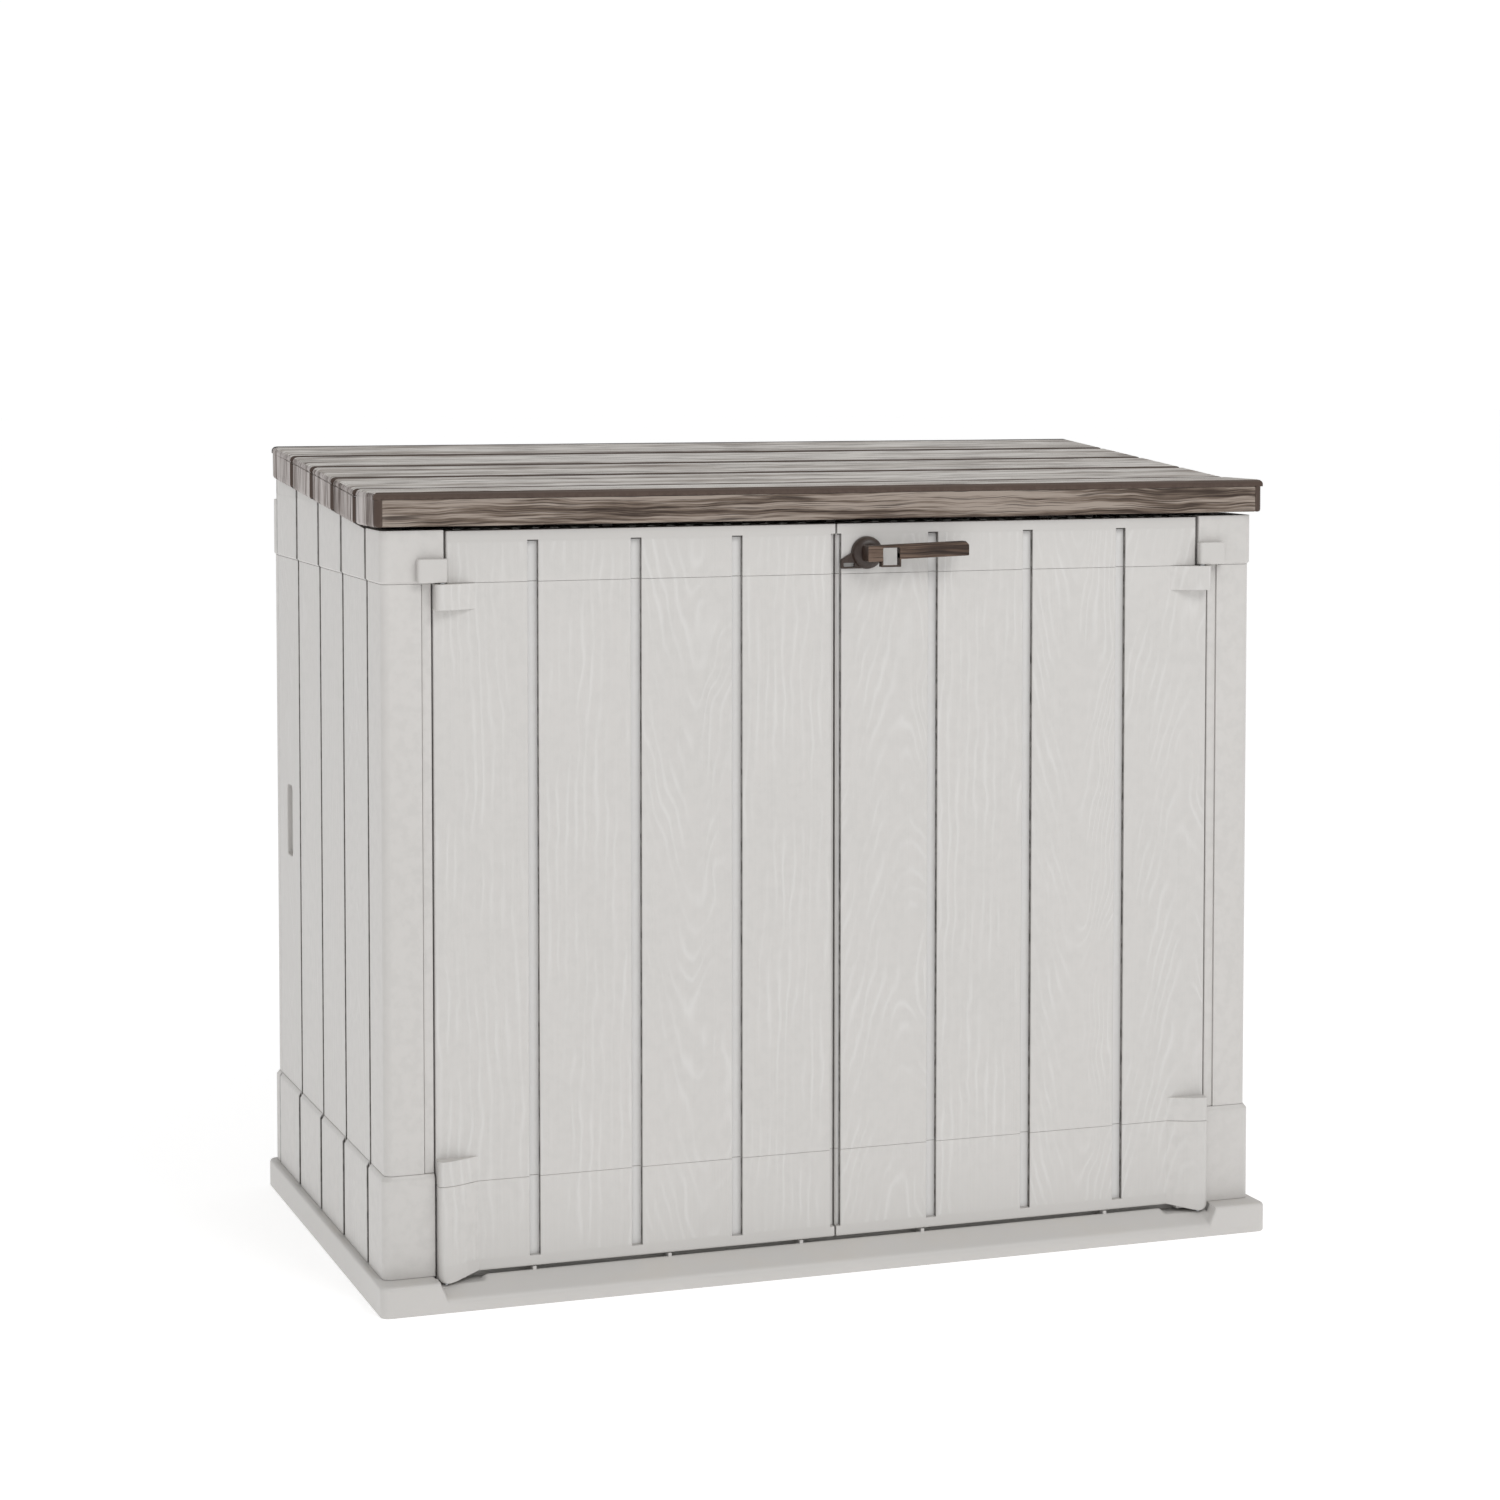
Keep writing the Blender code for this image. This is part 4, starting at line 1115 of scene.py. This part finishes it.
def makeRails():
    s = railShape
    low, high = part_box("front_top_rail")
    main = low.y + s["lipDepth"]
    lip = high.z - s["lipHeight"]
    corners = [(main, low.z), (high.y, low.z), (high.y, high.z), (low.y, high.z), (low.y, lip), (main, lip)]
    shape = bmesh.new()
    addBar(shape, eased(corners, 0.0015), "X", low.x, high.x, 0.001)
    # short upstands along the rail, clear of the lid's ribs
    count = int((high.x - 0.02) / s["pitch"])
    ribs = [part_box(f"lid_rib_{word}") for word in ("left", "centre", "right")]
    rests = [(a.x + b.x) / 2 for a, b in ribs]
    for i in range(-count, count + 1):
        x = i * s["pitch"] + s["pitch"] / 2
        if min(abs(x - r) for r in rests) > s["clear"]:
            start = (x - s["tooth"], low.y + 0.003, high.z - 0.001)
            addBox(shape, start, (x + s["tooth"], low.y + 0.010, high.z + 0.0014), 0.0005)
    finished(shape, "frontRail", plainShell, "cabinet", ["front_top_rail"])
    low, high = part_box("rear_hinge_rail")
    shape = bmesh.new()
    corners = [(low.y, low.z), (high.y, low.z), (high.y, high.z), (low.y, high.z)]
    addBar(shape, eased(corners, 0.003), "X", low.x, high.x, 0.001)
    finished(shape, "rearRail", plainShell, "cabinet", ["rear_hinge_rail"])


housingShape = {"front": 0.0075, "back": 0.0022, "edge": 0.0018}


def makeHousing(word):
    node = f"hinge_housing_{word}"
    low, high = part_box(node)
    front, back = housingShape["front"], housingShape["back"]
    corners = [(low.x, low.y), (high.x, low.y), (high.x, high.y), (low.x, high.y)]
    outline = eased(corners, [front, front, back, back], 6)
    shape = bmesh.new()
    addBar(shape, outline, "Z", low.z, high.z, housingShape["edge"])
    finished(shape, f"housing{word.title()}", plainShell, "cabinet", [node])


makePlinth()
for side, word in ((-1, "left"), (1, "right")):
    for layer in bodyLayers:
        makeSideWall(side, word, layer)
for side, word in ((-1, "left"), (1, "right")):
    for layer in bodyLayers:
        makeFrontPost(side, word, layer)
for layer in bodyLayers:
    makeRearWall(layer)
makeInnerRibs()
makeRails()
for word in ("left", "right"):
    makeHousing(word)
print("deck box: body made")


doorShape = {
    "near": 0.0015,
    "grooveWidth": 0.015,
    "grooveDepth": 0.008,
    "grooveEnd": 0.0135,
    "lip": 0.0009,
    "edge": 0.0009,
    "seam": 0.0005,
    "corner": 0.009,
    "footHeight": 0.1202,
}


def doorRing(side, edge, z, amount, deep, trim):
    d = doorShape
    front, back = body["doorFace"], body["doorBack"]
    half = d["grooveWidth"] / 2
    floor = front + d["grooveDepth"]
    corners = [(d["near"], back), (edge, back), (edge, front)]
    radii = [0.0015, 0.0015, 0.003]
    for i in (3, 2, 1):
        at = i * doorPlank
        corners += [(at + half, front), (at + half, floor), (at - half, floor), (at - half, front)]
        radii += [d["lip"], d["lip"] * 0.6, d["lip"] * 0.6, d["lip"]]
    corners += [(half, front), (half, floor), (d["near"], floor)]
    radii += [d["lip"], d["lip"] * 0.6, 0.0]
    ring = []
    face = front + amount
    for p in inset(eased(corners, radii, 3), amount):
        x, y = p
        if x < edge - 0.006 and y <= floor + amount + 1e-6:
            y = face + (y - face) * deep
        if x > edge - 0.012:
            x -= trim
        ring.append(Vector((side * x, y, z)))
    return ring


def makeDoorLayer(side, word, layer):
    d = doorShape
    node = f"door_{word}_{layer}"
    low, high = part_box(node)
    edge = max(abs(low.x), abs(high.x))
    # each station: (place, inset, share of the groove's depth, pull at the outer edge)
    stations = []
    if layer == "lower":
        bottom = high.z - d["footHeight"]
        r = d["corner"]
        for h in (0.0, 0.0004, 0.0010, 0.0020, 0.0036, 0.0060, r):
            trim = r - math.sqrt(r * r - (r - h) ** 2)
            stations.append((bottom + h, d["edge"] * max(0, 1 - h / 0.0015), 0.0, trim))
        stations += [(bottom + d["grooveEnd"], 0, 0.0, 0), (bottom + d["grooveEnd"] + 0.0006, 0, 1.0, 0)]
        stations += [(high.z - d["seam"], 0, 1.0, 0), (high.z, d["seam"], 1.0, 0)]
    elif layer == "middle":
        stations = [(z, amount, 1.0, 0) for z, amount in easedEnds(low.z, high.z, d["seam"], 2)]
    else:
        top = high.z
        stations = [(low.z, d["seam"], 1.0, 0), (low.z + d["seam"], 0, 1.0, 0)]
        stations += [(top - d["grooveEnd"] - 0.0006, 0, 1.0, 0), (top - d["grooveEnd"], 0, 0.0, 0)]
        stations += [(z, amount, 0.0, 0) for z, amount in easedEnds(low.z, top, d["edge"], 3)[4:]]
    shape = bmesh.new()
    addLoft(shape, [doorRing(side, edge, *station) for station in stations])
    if layer != "upper":
        addKnuckles(shape, side, word, layer, edge)
    name = f"door{word.title()}{layer.title()}"
    finished(shape, name, doorShell, f"door_{word}", [node], 30)


knuckleShape = {
    "nose": 0.007,
    "out": 0.011,
    "length": 0.047,
    "edge": 0.0008,
    "corner": 0.008,
    "climb": 0.0088,
}


def addKnuckles(shape, side, word, layer, edge):
    # round hinge noses that fade into the door's face
    k = knuckleShape
    hinge = tuple(hingeAt)
    face = body["doorFace"]
    inboard = hinge[0] - k["length"]
    nose = k["nose"]
    outline = [(edge - 0.0004, face + 0.004)]
    outline += arcPoints((hinge[0] + k["out"] - nose, hinge[1] - k["out"] + nose), nose, 0, -90, 8)
    outline += [(hinge[0] - 0.012, face - 0.0158), (inboard, face + 0.0002), (inboard, face + 0.004)]
    outline = [(side * a, b) for a, b in outline]
    nodeLow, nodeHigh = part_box(f"door_{word}_{layer}")
    if layer == "middle":
        for low, high in ((nodeLow.z, 0.196), (nodeHigh.z - 0.0342, nodeHigh.z)):
            addBar(shape, outline, "Z", low, high, k["edge"])
        return
    low, high = nodeLow.z, nodeHigh.z
    a, b = sorted((side * (hinge[0] - 0.030), side * edge))
    addBox(shape, (a, face + 0.0006, low), (b, body["doorBack"] - 0.0004, low + 0.010), 0.0015)
    # the lower one's bottom is round at the door's edge and climbs to the door's own bottom
    rings = []
    r = k["corner"]
    for h in (0.0, 0.0004, 0.0012, 0.0026, 0.0048, r, 0.03, high - low - k["edge"], high - low):
        top = h > 0.02
        pulled = 0.0 if top else r - math.sqrt(r * r - (r - h) ** 2)
        amount = k["edge"] if h in (0.0, high - low) else 0.0
        ring = []
        for a, b in inset(outline, amount):
            climb = 0.0 if top else k["climb"] * smoothStep(edge - abs(a), 0.017, 0.043)
            a -= side * pulled * smoothStep(abs(a), edge - 0.014, edge - 0.006)
            ring.append(Vector((a, b, low + h + climb)))
        rings.append(ring)
    addLoft(shape, rings)


doorRibs = {
    "upright": (0.012, 0.143, 0.286, 0.429, 0.536),
    "level": (0.072, 0.164, 0.36, 0.56, 0.76, 0.937),
    "reach": 0.548,
    "top": 0.945,
    "width": 0.008,
    "edge": 0.001,
}


def makeDoorRibs(side, word):
    # the door's inner frame and ribs
    s = doorRibs
    shape = bmesh.new()
    back = body["doorBack"]
    start, half = back - s["edge"], s["width"] / 2
    for x in s["upright"]:
        a, b = sorted((side * (x - half), side * (x + half)))
        addBox(shape, (a, start, s["level"][0]), (b, back + 0.0028, s["top"]), s["edge"])
    for z in s["level"]:
        a, b = sorted((side * s["width"], side * (s["reach"] - s["width"])))
        addBox(shape, (a, start, z), (b, back + 0.0026, z + s["width"]), s["edge"])
    finished(shape, f"doorRibs{word.title()}", plainShell, f"door_{word}")


for side, word in ((-1, "left"), (1, "right")):
    for layer in bodyLayers:
        makeDoorLayer(side, word, layer)
    makeDoorRibs(side, word)
print("deck box: doors made")


def lidTop(y):
    slope = (panelHigh.z + 0.0003 - lidFront) / (panelHigh.y - lidFold)
    return lidFront + slope * max(0.0, y - lidFold)


def lidGroove(y):
    # how deep the groove between two planks is: a slope from the front, then a steep far side
    deepest = 0.0
    for i in range(lidShape["planks"]):
        past = y - lidFold - i * lidPitch
        deepest = max(deepest, min(1 + past / lidShape["grooveSlope"], 1 - past / lidShape["grooveWall"]))
    return max(0.0, deepest)


def rounded(reach, radius):
    # how far a round edge lies below the flat, a given way in from the edge
    return radius - math.sqrt(max(0, radius ** 2 - max(0, radius - reach) ** 2))


def lidSurface(x, y, half):
    # the top's height, with its grain, grooves and round edges
    s = lidShape
    side = min(y - panelLow.y, panelHigh.y - y)
    plank = math.floor((y - lidFold) / lidPitch) if y > lidFold else -1
    calm = 0.35 if plank < 0 else 1.0
    grain = noise.noise(Vector((x * 5 + plank * 9, y * 210, plank))) * 0.6
    grain += noise.noise(Vector((x * 22, y * 90 + plank * 5, 3))) * 0.6
    z = lidTop(y) - s["grooveDepth"] * lidGroove(y)
    z += grain * s["relief"] * calm * smoothStep(side, 0.0, 0.01)
    endDrop = min(rounded(half - abs(x), s["endRound"]), 0.0065)
    return min(z, lidTop(y)) - max(rounded(side, s["edge"]), endDrop)


def makeLidPanel():
    s = lidShape
    # fine rows at the edges and in the grooves
    edges = [0.0003, 0.001, 0.0022, 0.004]
    ys = [panelLow.y] + [panelLow.y + e for e in edges]
    while ys[-1] < panelHigh.y - 0.006:
        grooved = lidGroove(ys[-1] + s["across"]) > 0 or lidGroove(ys[-1]) > 0
        ys.append(ys[-1] + (s["acrossFine"] if grooved else s["across"]))
    ys += [panelHigh.y - e for e in reversed(edges)] + [panelHigh.y]
    half = panelHigh.x
    ends = [0.0, 0.0003, 0.0010, 0.0022, 0.0040, 0.0070]
    middle = gradedLine([(-half + 0.016, half - 0.016, s["along"])])
    xs = [-half + e for e in ends] + middle + [half - e for e in reversed(ends)]
    rings = []
    for x in xs:
        ring = []
        for y in ys:
            pulled = s["notch"] * lidGroove(y) * smoothStep(abs(x), half - 0.012, half - 0.005)
            ring.append(Vector((x - math.copysign(pulled, x), y, lidSurface(x, y, half))))
        for y in (panelHigh.y, lidFold, panelLow.y):
            ring.append(Vector((x, y, lidTop(y) - s["panel"] + 0.0001)))
        rings.append(ring)
    shape = bmesh.new()
    addLoft(shape, rings)
    bmesh.ops.recalc_face_normals(shape, faces=shape.faces)
    for face in shape.faces:
        rear = face.normal.y > 0.8 and face.calc_center_median().y > panelHigh.y - 0.003
        if face.normal.y < -0.55 or rear:
            face.material_index = 1
        if abs(face.normal.x) > 0.75:
            face.material_index = 2
        if face.normal.z < -0.5:
            face.material_index = 1
    materials = [lidTopWood, lidBrown, lidEndWood]
    finished(shape, "lidPanel", materials, "lid", ["lid_top_panel"], 50)


def makeCrossBoard(node, name, front):
    # the front or the rear board, under the panel's edge
    low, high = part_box(node)
    drop = lidShape["panel"] + 0.0002
    foot = lidShape["panel"] + lidShape["boardDepth"]
    frontTop, backTop = lidTop(low.y), lidTop(high.y)
    corners = [
        (low.y, frontTop - foot),
        (high.y, backTop - foot),
        (high.y, backTop - drop),
        (low.y, frontTop - drop),
    ]
    outline = densified(eased(corners, [0.003, 0.0025, 0.0005, 0.0012], 3), 0.0045)
    stations = gradedLine([(low.x, high.x, 0.011)])
    shape = bmesh.new()
    addLoft(shape, [[Vector((x, p[0], p[1])) for p in outline] for x in stations])
    piece = finished(shape, name, lidBoardWood, "lid", [node], 50)
    roughened(piece, 0.0006, (11, 40, 120), 4.0, lambda p: p.z < lidFront - drop - 0.002 or not front)


def makeEndBoard(side, word):
    # notched under the grooves of the top
    s = lidShape
    node = f"lid_end_board_{word}"
    low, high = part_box(node)
    outer, inner = max(abs(low.x), abs(high.x)), min(abs(low.x), abs(high.x))
    foot = s["panel"] + s["boardDepth"]
    ys = gradedLine([
        (low.y, low.y + 0.012, 0.0012),
        (low.y + 0.012, high.y - 0.006, 0.0035),
        (high.y - 0.006, high.y, 0.0015),
    ])
    rings = []
    for y in ys:
        pulled = max(rounded(min(y - low.y, high.y - y), 0.009), s["notch"] * lidGroove(y))
        face = outer - pulled - 0.0002
        top = lidTop(y) - s["panel"] + 0.0008
        corners = [(inner, lidTop(y) - foot), (face, lidTop(y) - foot), (face, top), (inner, top)]
        outline = densified(eased(corners, [0.001, 0.003, 0.0002, 0.0005], 3), 0.006)
        rings.append([Vector((side * p[0], y, p[1])) for p in outline])
    count = min(len(r) for r in rings)
    if any(len(r) != count for r in rings):
        rings = [evenly(r, count) for r in rings]
    shape = bmesh.new()
    addLoft(shape, rings)
    bmesh.ops.recalc_face_normals(shape, faces=shape.faces)
    for face in shape.faces:
        outward = face.normal.x * side
        if face.normal.y < -0.6 or outward < -0.5 or abs(outward) < 0.3 and face.normal.z < -0.5:
            face.material_index = 1
    name = f"lidEnd{word.title()}"
    piece = finished(shape, name, [lidEndWood, lidBrown], "lid", [node], 50)
    roughened(piece, 0.0007, (60, 130, 14), 7.0, lambda p: p.y > low.y + 0.01)


def evenly(ring, count):
    # the same closed ring with a set number of points
    points = [Vector(p) for p in ring]
    lengths = [(points[(i + 1) % len(points)] - points[i]).length for i in range(len(points))]
    total = sum(lengths)
    made, i, walked = [], 0, 0.0
    for k in range(count):
        target = total * k / count
        while walked + lengths[i] < target:
            walked += lengths[i]
            i += 1
        share = (target - walked) / lengths[i]
        made.append(points[i].lerp(points[(i + 1) % len(points)], share))
    return made


latticeShape = {"pitch": 0.08, "half": 7, "clear": 0.012, "rows": 8, "rowPitch": 0.078, "edge": 0.0006}


def makeLidLattice():
    # thin ribs under the panel, clear of the three strong ones
    s = latticeShape
    panel = lidShape["panel"]
    shape = bmesh.new()
    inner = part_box("lid_end_board_right")[0].x
    for i in range(-s["half"], s["half"] + 1):
        x = i * s["pitch"]
        if abs(abs(x) - 0.32) < s["clear"] or i == 0:
            continue
        stations = [panelLow.y + 0.012, lidFold, panelHigh.y - 0.012]
        outline = [(y, lidTop(y) - panel + 0.001) for y in stations]
        outline += [(y, lidTop(y) - panel - 0.009) for y in reversed(stations)]
        addBar(shape, outline, "X", x - 0.0015, x + 0.0015, s["edge"])
    for i in range(s["rows"]):
        y = panelLow.y + 0.06 + i * s["rowPitch"]
        z = lidTop(y) - panel
        addBox(shape, (-inner, y - 0.0015, z - 0.0085), (inner, y + 0.0015, z + 0.0012), s["edge"])
    finished(shape, "lidLattice", deepBrown, "lid")


def softened(node, name, material, rides, offset, flat=0.02, least=0.6, sharp=40):
    # a frame node's own shape, with the edges that turn more than least rounded
    shape = bmesh.new()
    shape.from_mesh(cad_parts[node].data)
    bmesh.ops.remove_doubles(shape, verts=shape.verts, dist=1e-5)
    bmesh.ops.dissolve_limit(shape, angle_limit=flat, verts=shape.verts, edges=shape.edges)
    edges = [e for e in shape.edges if e.calc_face_angle(0) > least]
    bmesh.ops.bevel(
        shape, geom=edges, offset=offset, segments=2, profile=0.5, affect="EDGES", clamp_overlap=True
    )
    return finished(shape, name, material, rides, [node], sharp)


def makeLidHinge(word):
    bracket, knuckle = f"lidBracket{word.title()}", f"lidKnuckle{word.title()}"
    softened(f"lid_hinge_bracket_{word}", bracket, deepBrown, "cabinet", 0.001)
    softened(f"lid_hinge_knuckle_{word}", knuckle, deepBrown, "lid", 0.001)


makeLidPanel()
makeCrossBoard("lid_front_board", "lidFrontBoard", True)
makeCrossBoard("lid_rear_board", "lidRearBoard", False)
makeEndBoard(-1, "left")
makeEndBoard(1, "right")
for word in ("left", "centre", "right"):
    rib = f"lidRib{word.title()}"
    softened(f"lid_rib_{word}", rib, deepBrown, "lid", 0.0012, 0.01, -1.0, 34)
makeLidLattice()
for word in ("left", "centre", "right"):
    makeLidHinge(word)
print("deck box: lid made")


handleShape = {
    "boss": 0.022,
    "loopWidth": 0.0285,
    "loopDrop": 0.0185,
    "frame": 0.0022,
    "below": 0.009,
    "rise": 0.004,
    "height": 0.020,
    "bevel": 0.005,
    "thickness": 0.012,
    "window": 0.0078,
    "rosette": 0.0225,
    "crown": 0.011,
    "rim": 0.0034,
}
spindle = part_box("handle_spindle")
handleAt = ((spindle[0].x + spindle[1].x) / 2, (spindle[0].z + spindle[1].z) / 2)


def makeLever():
    h = handleShape
    x, z = handleAt
    low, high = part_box("handle_lever")
    boss, frameWidth = h["boss"] / 2, h["frame"]
    start = x + boss - 0.002
    end = start + h["loopWidth"]
    gripLow = z - h["below"]
    tip = high.x
    top = gripLow + h["rise"] + h["height"]
    # boss and grip in one outline, from the boss's lower left corner
    corners = [
        (x - boss, z - boss),
        (x + boss, z - boss),
        (x + boss, z + h["window"]),
        (end - frameWidth, z + h["window"]),
        (end - frameWidth, gripLow + 0.001),
        (tip, gripLow + h["rise"]),
        (tip, top - h["bevel"]),
        (tip - h["bevel"], top),
        (x - boss, z + boss),
    ]
    radii = [0.0016, 0.0016, 0.0016, 0.0016, 0.0016, 0.002, 0.003, 0.003, 0.0016]
    front, back = low.y, low.y + h["thickness"]
    shape = bmesh.new()
    addBar(shape, eased(corners, radii, 3), "Y", front, back, 0.0012)
    # the padlock's loop hangs between the boss and the grip
    drop = z - h["loopDrop"]
    loop = [
        (start, z - 0.004),
        (start, drop),
        (end, drop),
        (end, z),
        (end - frameWidth, z),
        (end - frameWidth, drop + frameWidth),
        (start + frameWidth, drop + frameWidth),
        (start + frameWidth, z - 0.004),
    ]
    loop = eased(loop, [0, 0.0012, 0.0012, 0, 0, 0.0008, 0.0008, 0], 3)
    addBar(shape, loop, "Y", front + 0.0006, back - 0.0006, 0.0005)
    square = [(x - boss, z - boss), (x + boss, z - boss), (x + boss, z + boss), (x - boss, z + boss)]
    addBar(shape, inset(eased(square, 0.0018, 4), 0.0003), "Y", front + 0.004, high.y, 0.0006)
    bmesh.ops.recalc_face_normals(shape, faces=shape.faces)
    for face in shape.faces:
        middle = face.calc_center_median()
        wood = face.normal.y < -0.6 and middle.z > gripLow - 0.0025
        face.material_index = 0 if wood or (face.normal.z > 0.6 and middle.x > x + boss) else 1
    materials = [gripWood, deepBrown]
    finished(shape, "lever", materials, "handle", ["handle_lever"], 30)


def makeRosette():
    # a domed disc with a slotted ear at its lower left
    h = handleShape
    x, z = handleAt
    low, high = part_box("handle_rosette")
    back = high.y
    radius, crown, rim = h["rosette"], h["crown"], h["rim"]
    rise = back - low.y
    profile = [(radius - 0.0006, 0.0), (radius, -0.0008), (radius, -rim)]
    for i in range(1, 13):
        turn = math.radians(84 * i / 12)
        profile.append((crown + (radius - crown) * math.cos(turn), -rim - (rise - rim) * math.sin(turn)))
    profile.append((0.010, -rise))
    ear = [
        (x + 0.004, z - 0.0215),
        (x - 0.0385, z - 0.0215),
        (x - 0.0385, z - 0.009),
        (x - 0.030, z - 0.004),
        (x - 0.012, z + 0.006),
        (x + 0.004, z + 0.006),
    ]
    plate = bmesh.new()
    addBar(plate, eased(ear, [0.001, 0.002, 0.002, 0.003, 0.001, 0.001], 4), "Y", back - 0.005, back, 0.001)
    left, right, foot, top = x - 0.035, x - 0.0185, z - 0.019, z - 0.0135
    slot = eased([(left, foot), (right, foot), (right, top), (left, top)], 0.0018, 4)
    cutter = bmesh.new()
    addLoft(cutter, [[placed(p, "Y", y) for p in slot] for y in (back - 0.02, back + 0.02)])
    shape = cutOut(plate, cutter)
    addTurned(shape, (x, back, z), profile, 56)
    finished(shape, "rosette", deepBrown, "door_right", ["handle_rosette"], 40)


makeLever()
makeRosette()
softened("latch_cam", "latchCam", zincPlate, "handle", 0.0005)
softened("latch_backplate", "latchBackplate", zincPlate, "door_right", 0.0005)
softened("latch_keeper", "latchKeeper", zincPlate, "door_left", 0.0005)
# the pins, the spindle and the screws keep the frame's own shapes
for node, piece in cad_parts.items():
    if not piece.hide_render:
        piece.data.materials.clear()
        piece.data.materials.append(zincPlate)
        piece.data.shade_smooth()
        piece.data.set_sharp_from_angle(angle=math.radians(35))
        print("deck box: frame piece kept:", node)
print("deck box: handle and latch made")


roomShape = {
    "floor": linear(246, 246, 246),
    "floorShade": linear(240, 240, 240),
    "floorGlow": 0.42,
    "floorHalf": 60.0,
    "floorDrop": 0.0004,
    "world": 0.635,
    "behind": 1.05,
    "key": 56.0,
    "fill": 8.0,
}


def makeRoom():
    r = roomShape
    made, tree, shader, place = startMaterial("paleFloor", 0.9, specular=0.1)[:4]
    soft = times(tree, noised(tree, place, 2.0, 2.0), 0.1)
    tree.links.new(blended(tree, soft, r["floor"], r["floorShade"]), shader.inputs["Base Color"])
    shader.inputs["Emission Color"].default_value = white
    shader.inputs["Emission Strength"].default_value = r["floorGlow"]
    mesh = bpy.data.meshes.new("floor")
    half, z = r["floorHalf"], -r["floorDrop"]
    corners = [(-half, -half, z), (half, -half, z), (half, half, z), (-half, half, z)]
    mesh.from_pydata(corners, [], [(0, 1, 2, 3)])
    mesh.materials.append(made)
    floor = bpy.data.objects.new("floor", mesh)
    bpy.context.scene.collection.objects.link(floor)
    # the world lights with one strength and shows behind the box with another
    world = bpy.data.worlds.new("studio")
    bpy.context.scene.world = world
    world.use_nodes = True
    tree = world.node_tree
    background = tree.nodes["Background"]
    background.inputs["Color"].default_value = white
    seen = tree.nodes.new("ShaderNodeLightPath").outputs["Is Camera Ray"]
    strength = ramped(tree, seen, 0.0, 1.0, r["world"], r["behind"])
    tree.links.new(strength, background.inputs["Strength"])


def makeLight(name, place, aim, size, power):
    lamp = bpy.data.lights.new(name, "AREA")
    lamp.shape = "RECTANGLE"
    lamp.size, lamp.size_y = size
    lamp.energy = power
    made = bpy.data.objects.new(name, lamp)
    made.location = place
    made.rotation_euler = (Vector(aim) - Vector(place)).to_track_quat("-Z", "Y").to_euler()
    bpy.context.scene.collection.objects.link(made)


cameraPlace = {
    "at": (-1.6057, -4.4883, 1.2582),
    "yaw": 19.622,
    "pitch": 3.094,
    "lens": 78.51,
    "shift": -0.147,
}


def makeCamera():
    lens = bpy.data.cameras.new("camera")
    lens.sensor_width = 36.0
    lens.lens = cameraPlace["lens"]
    lens.shift_y = cameraPlace["shift"]
    made = bpy.data.objects.new("camera", lens)
    made.location = cameraPlace["at"]
    made.rotation_euler = (math.radians(90 - cameraPlace["pitch"]), 0, math.radians(-cameraPlace["yaw"]))
    bpy.context.scene.collection.objects.link(made)
    bpy.context.scene.camera = made


makeRoom()
makeLight("keySoftbox", (1.2, -3.4, 3.6), (0, -0.2, 0.7), (2.4, 1.6), roomShape["key"])
makeLight("fillSoftbox", (-3.2, -1.4, 2.0), (0, 0, 0.6), (2.2, 2.2), roomShape["fill"])
makeCamera()
bpy.context.scene.view_settings.view_transform = "Standard"
bpy.context.view_layer.update()
print("deck box: room, light and camera made")
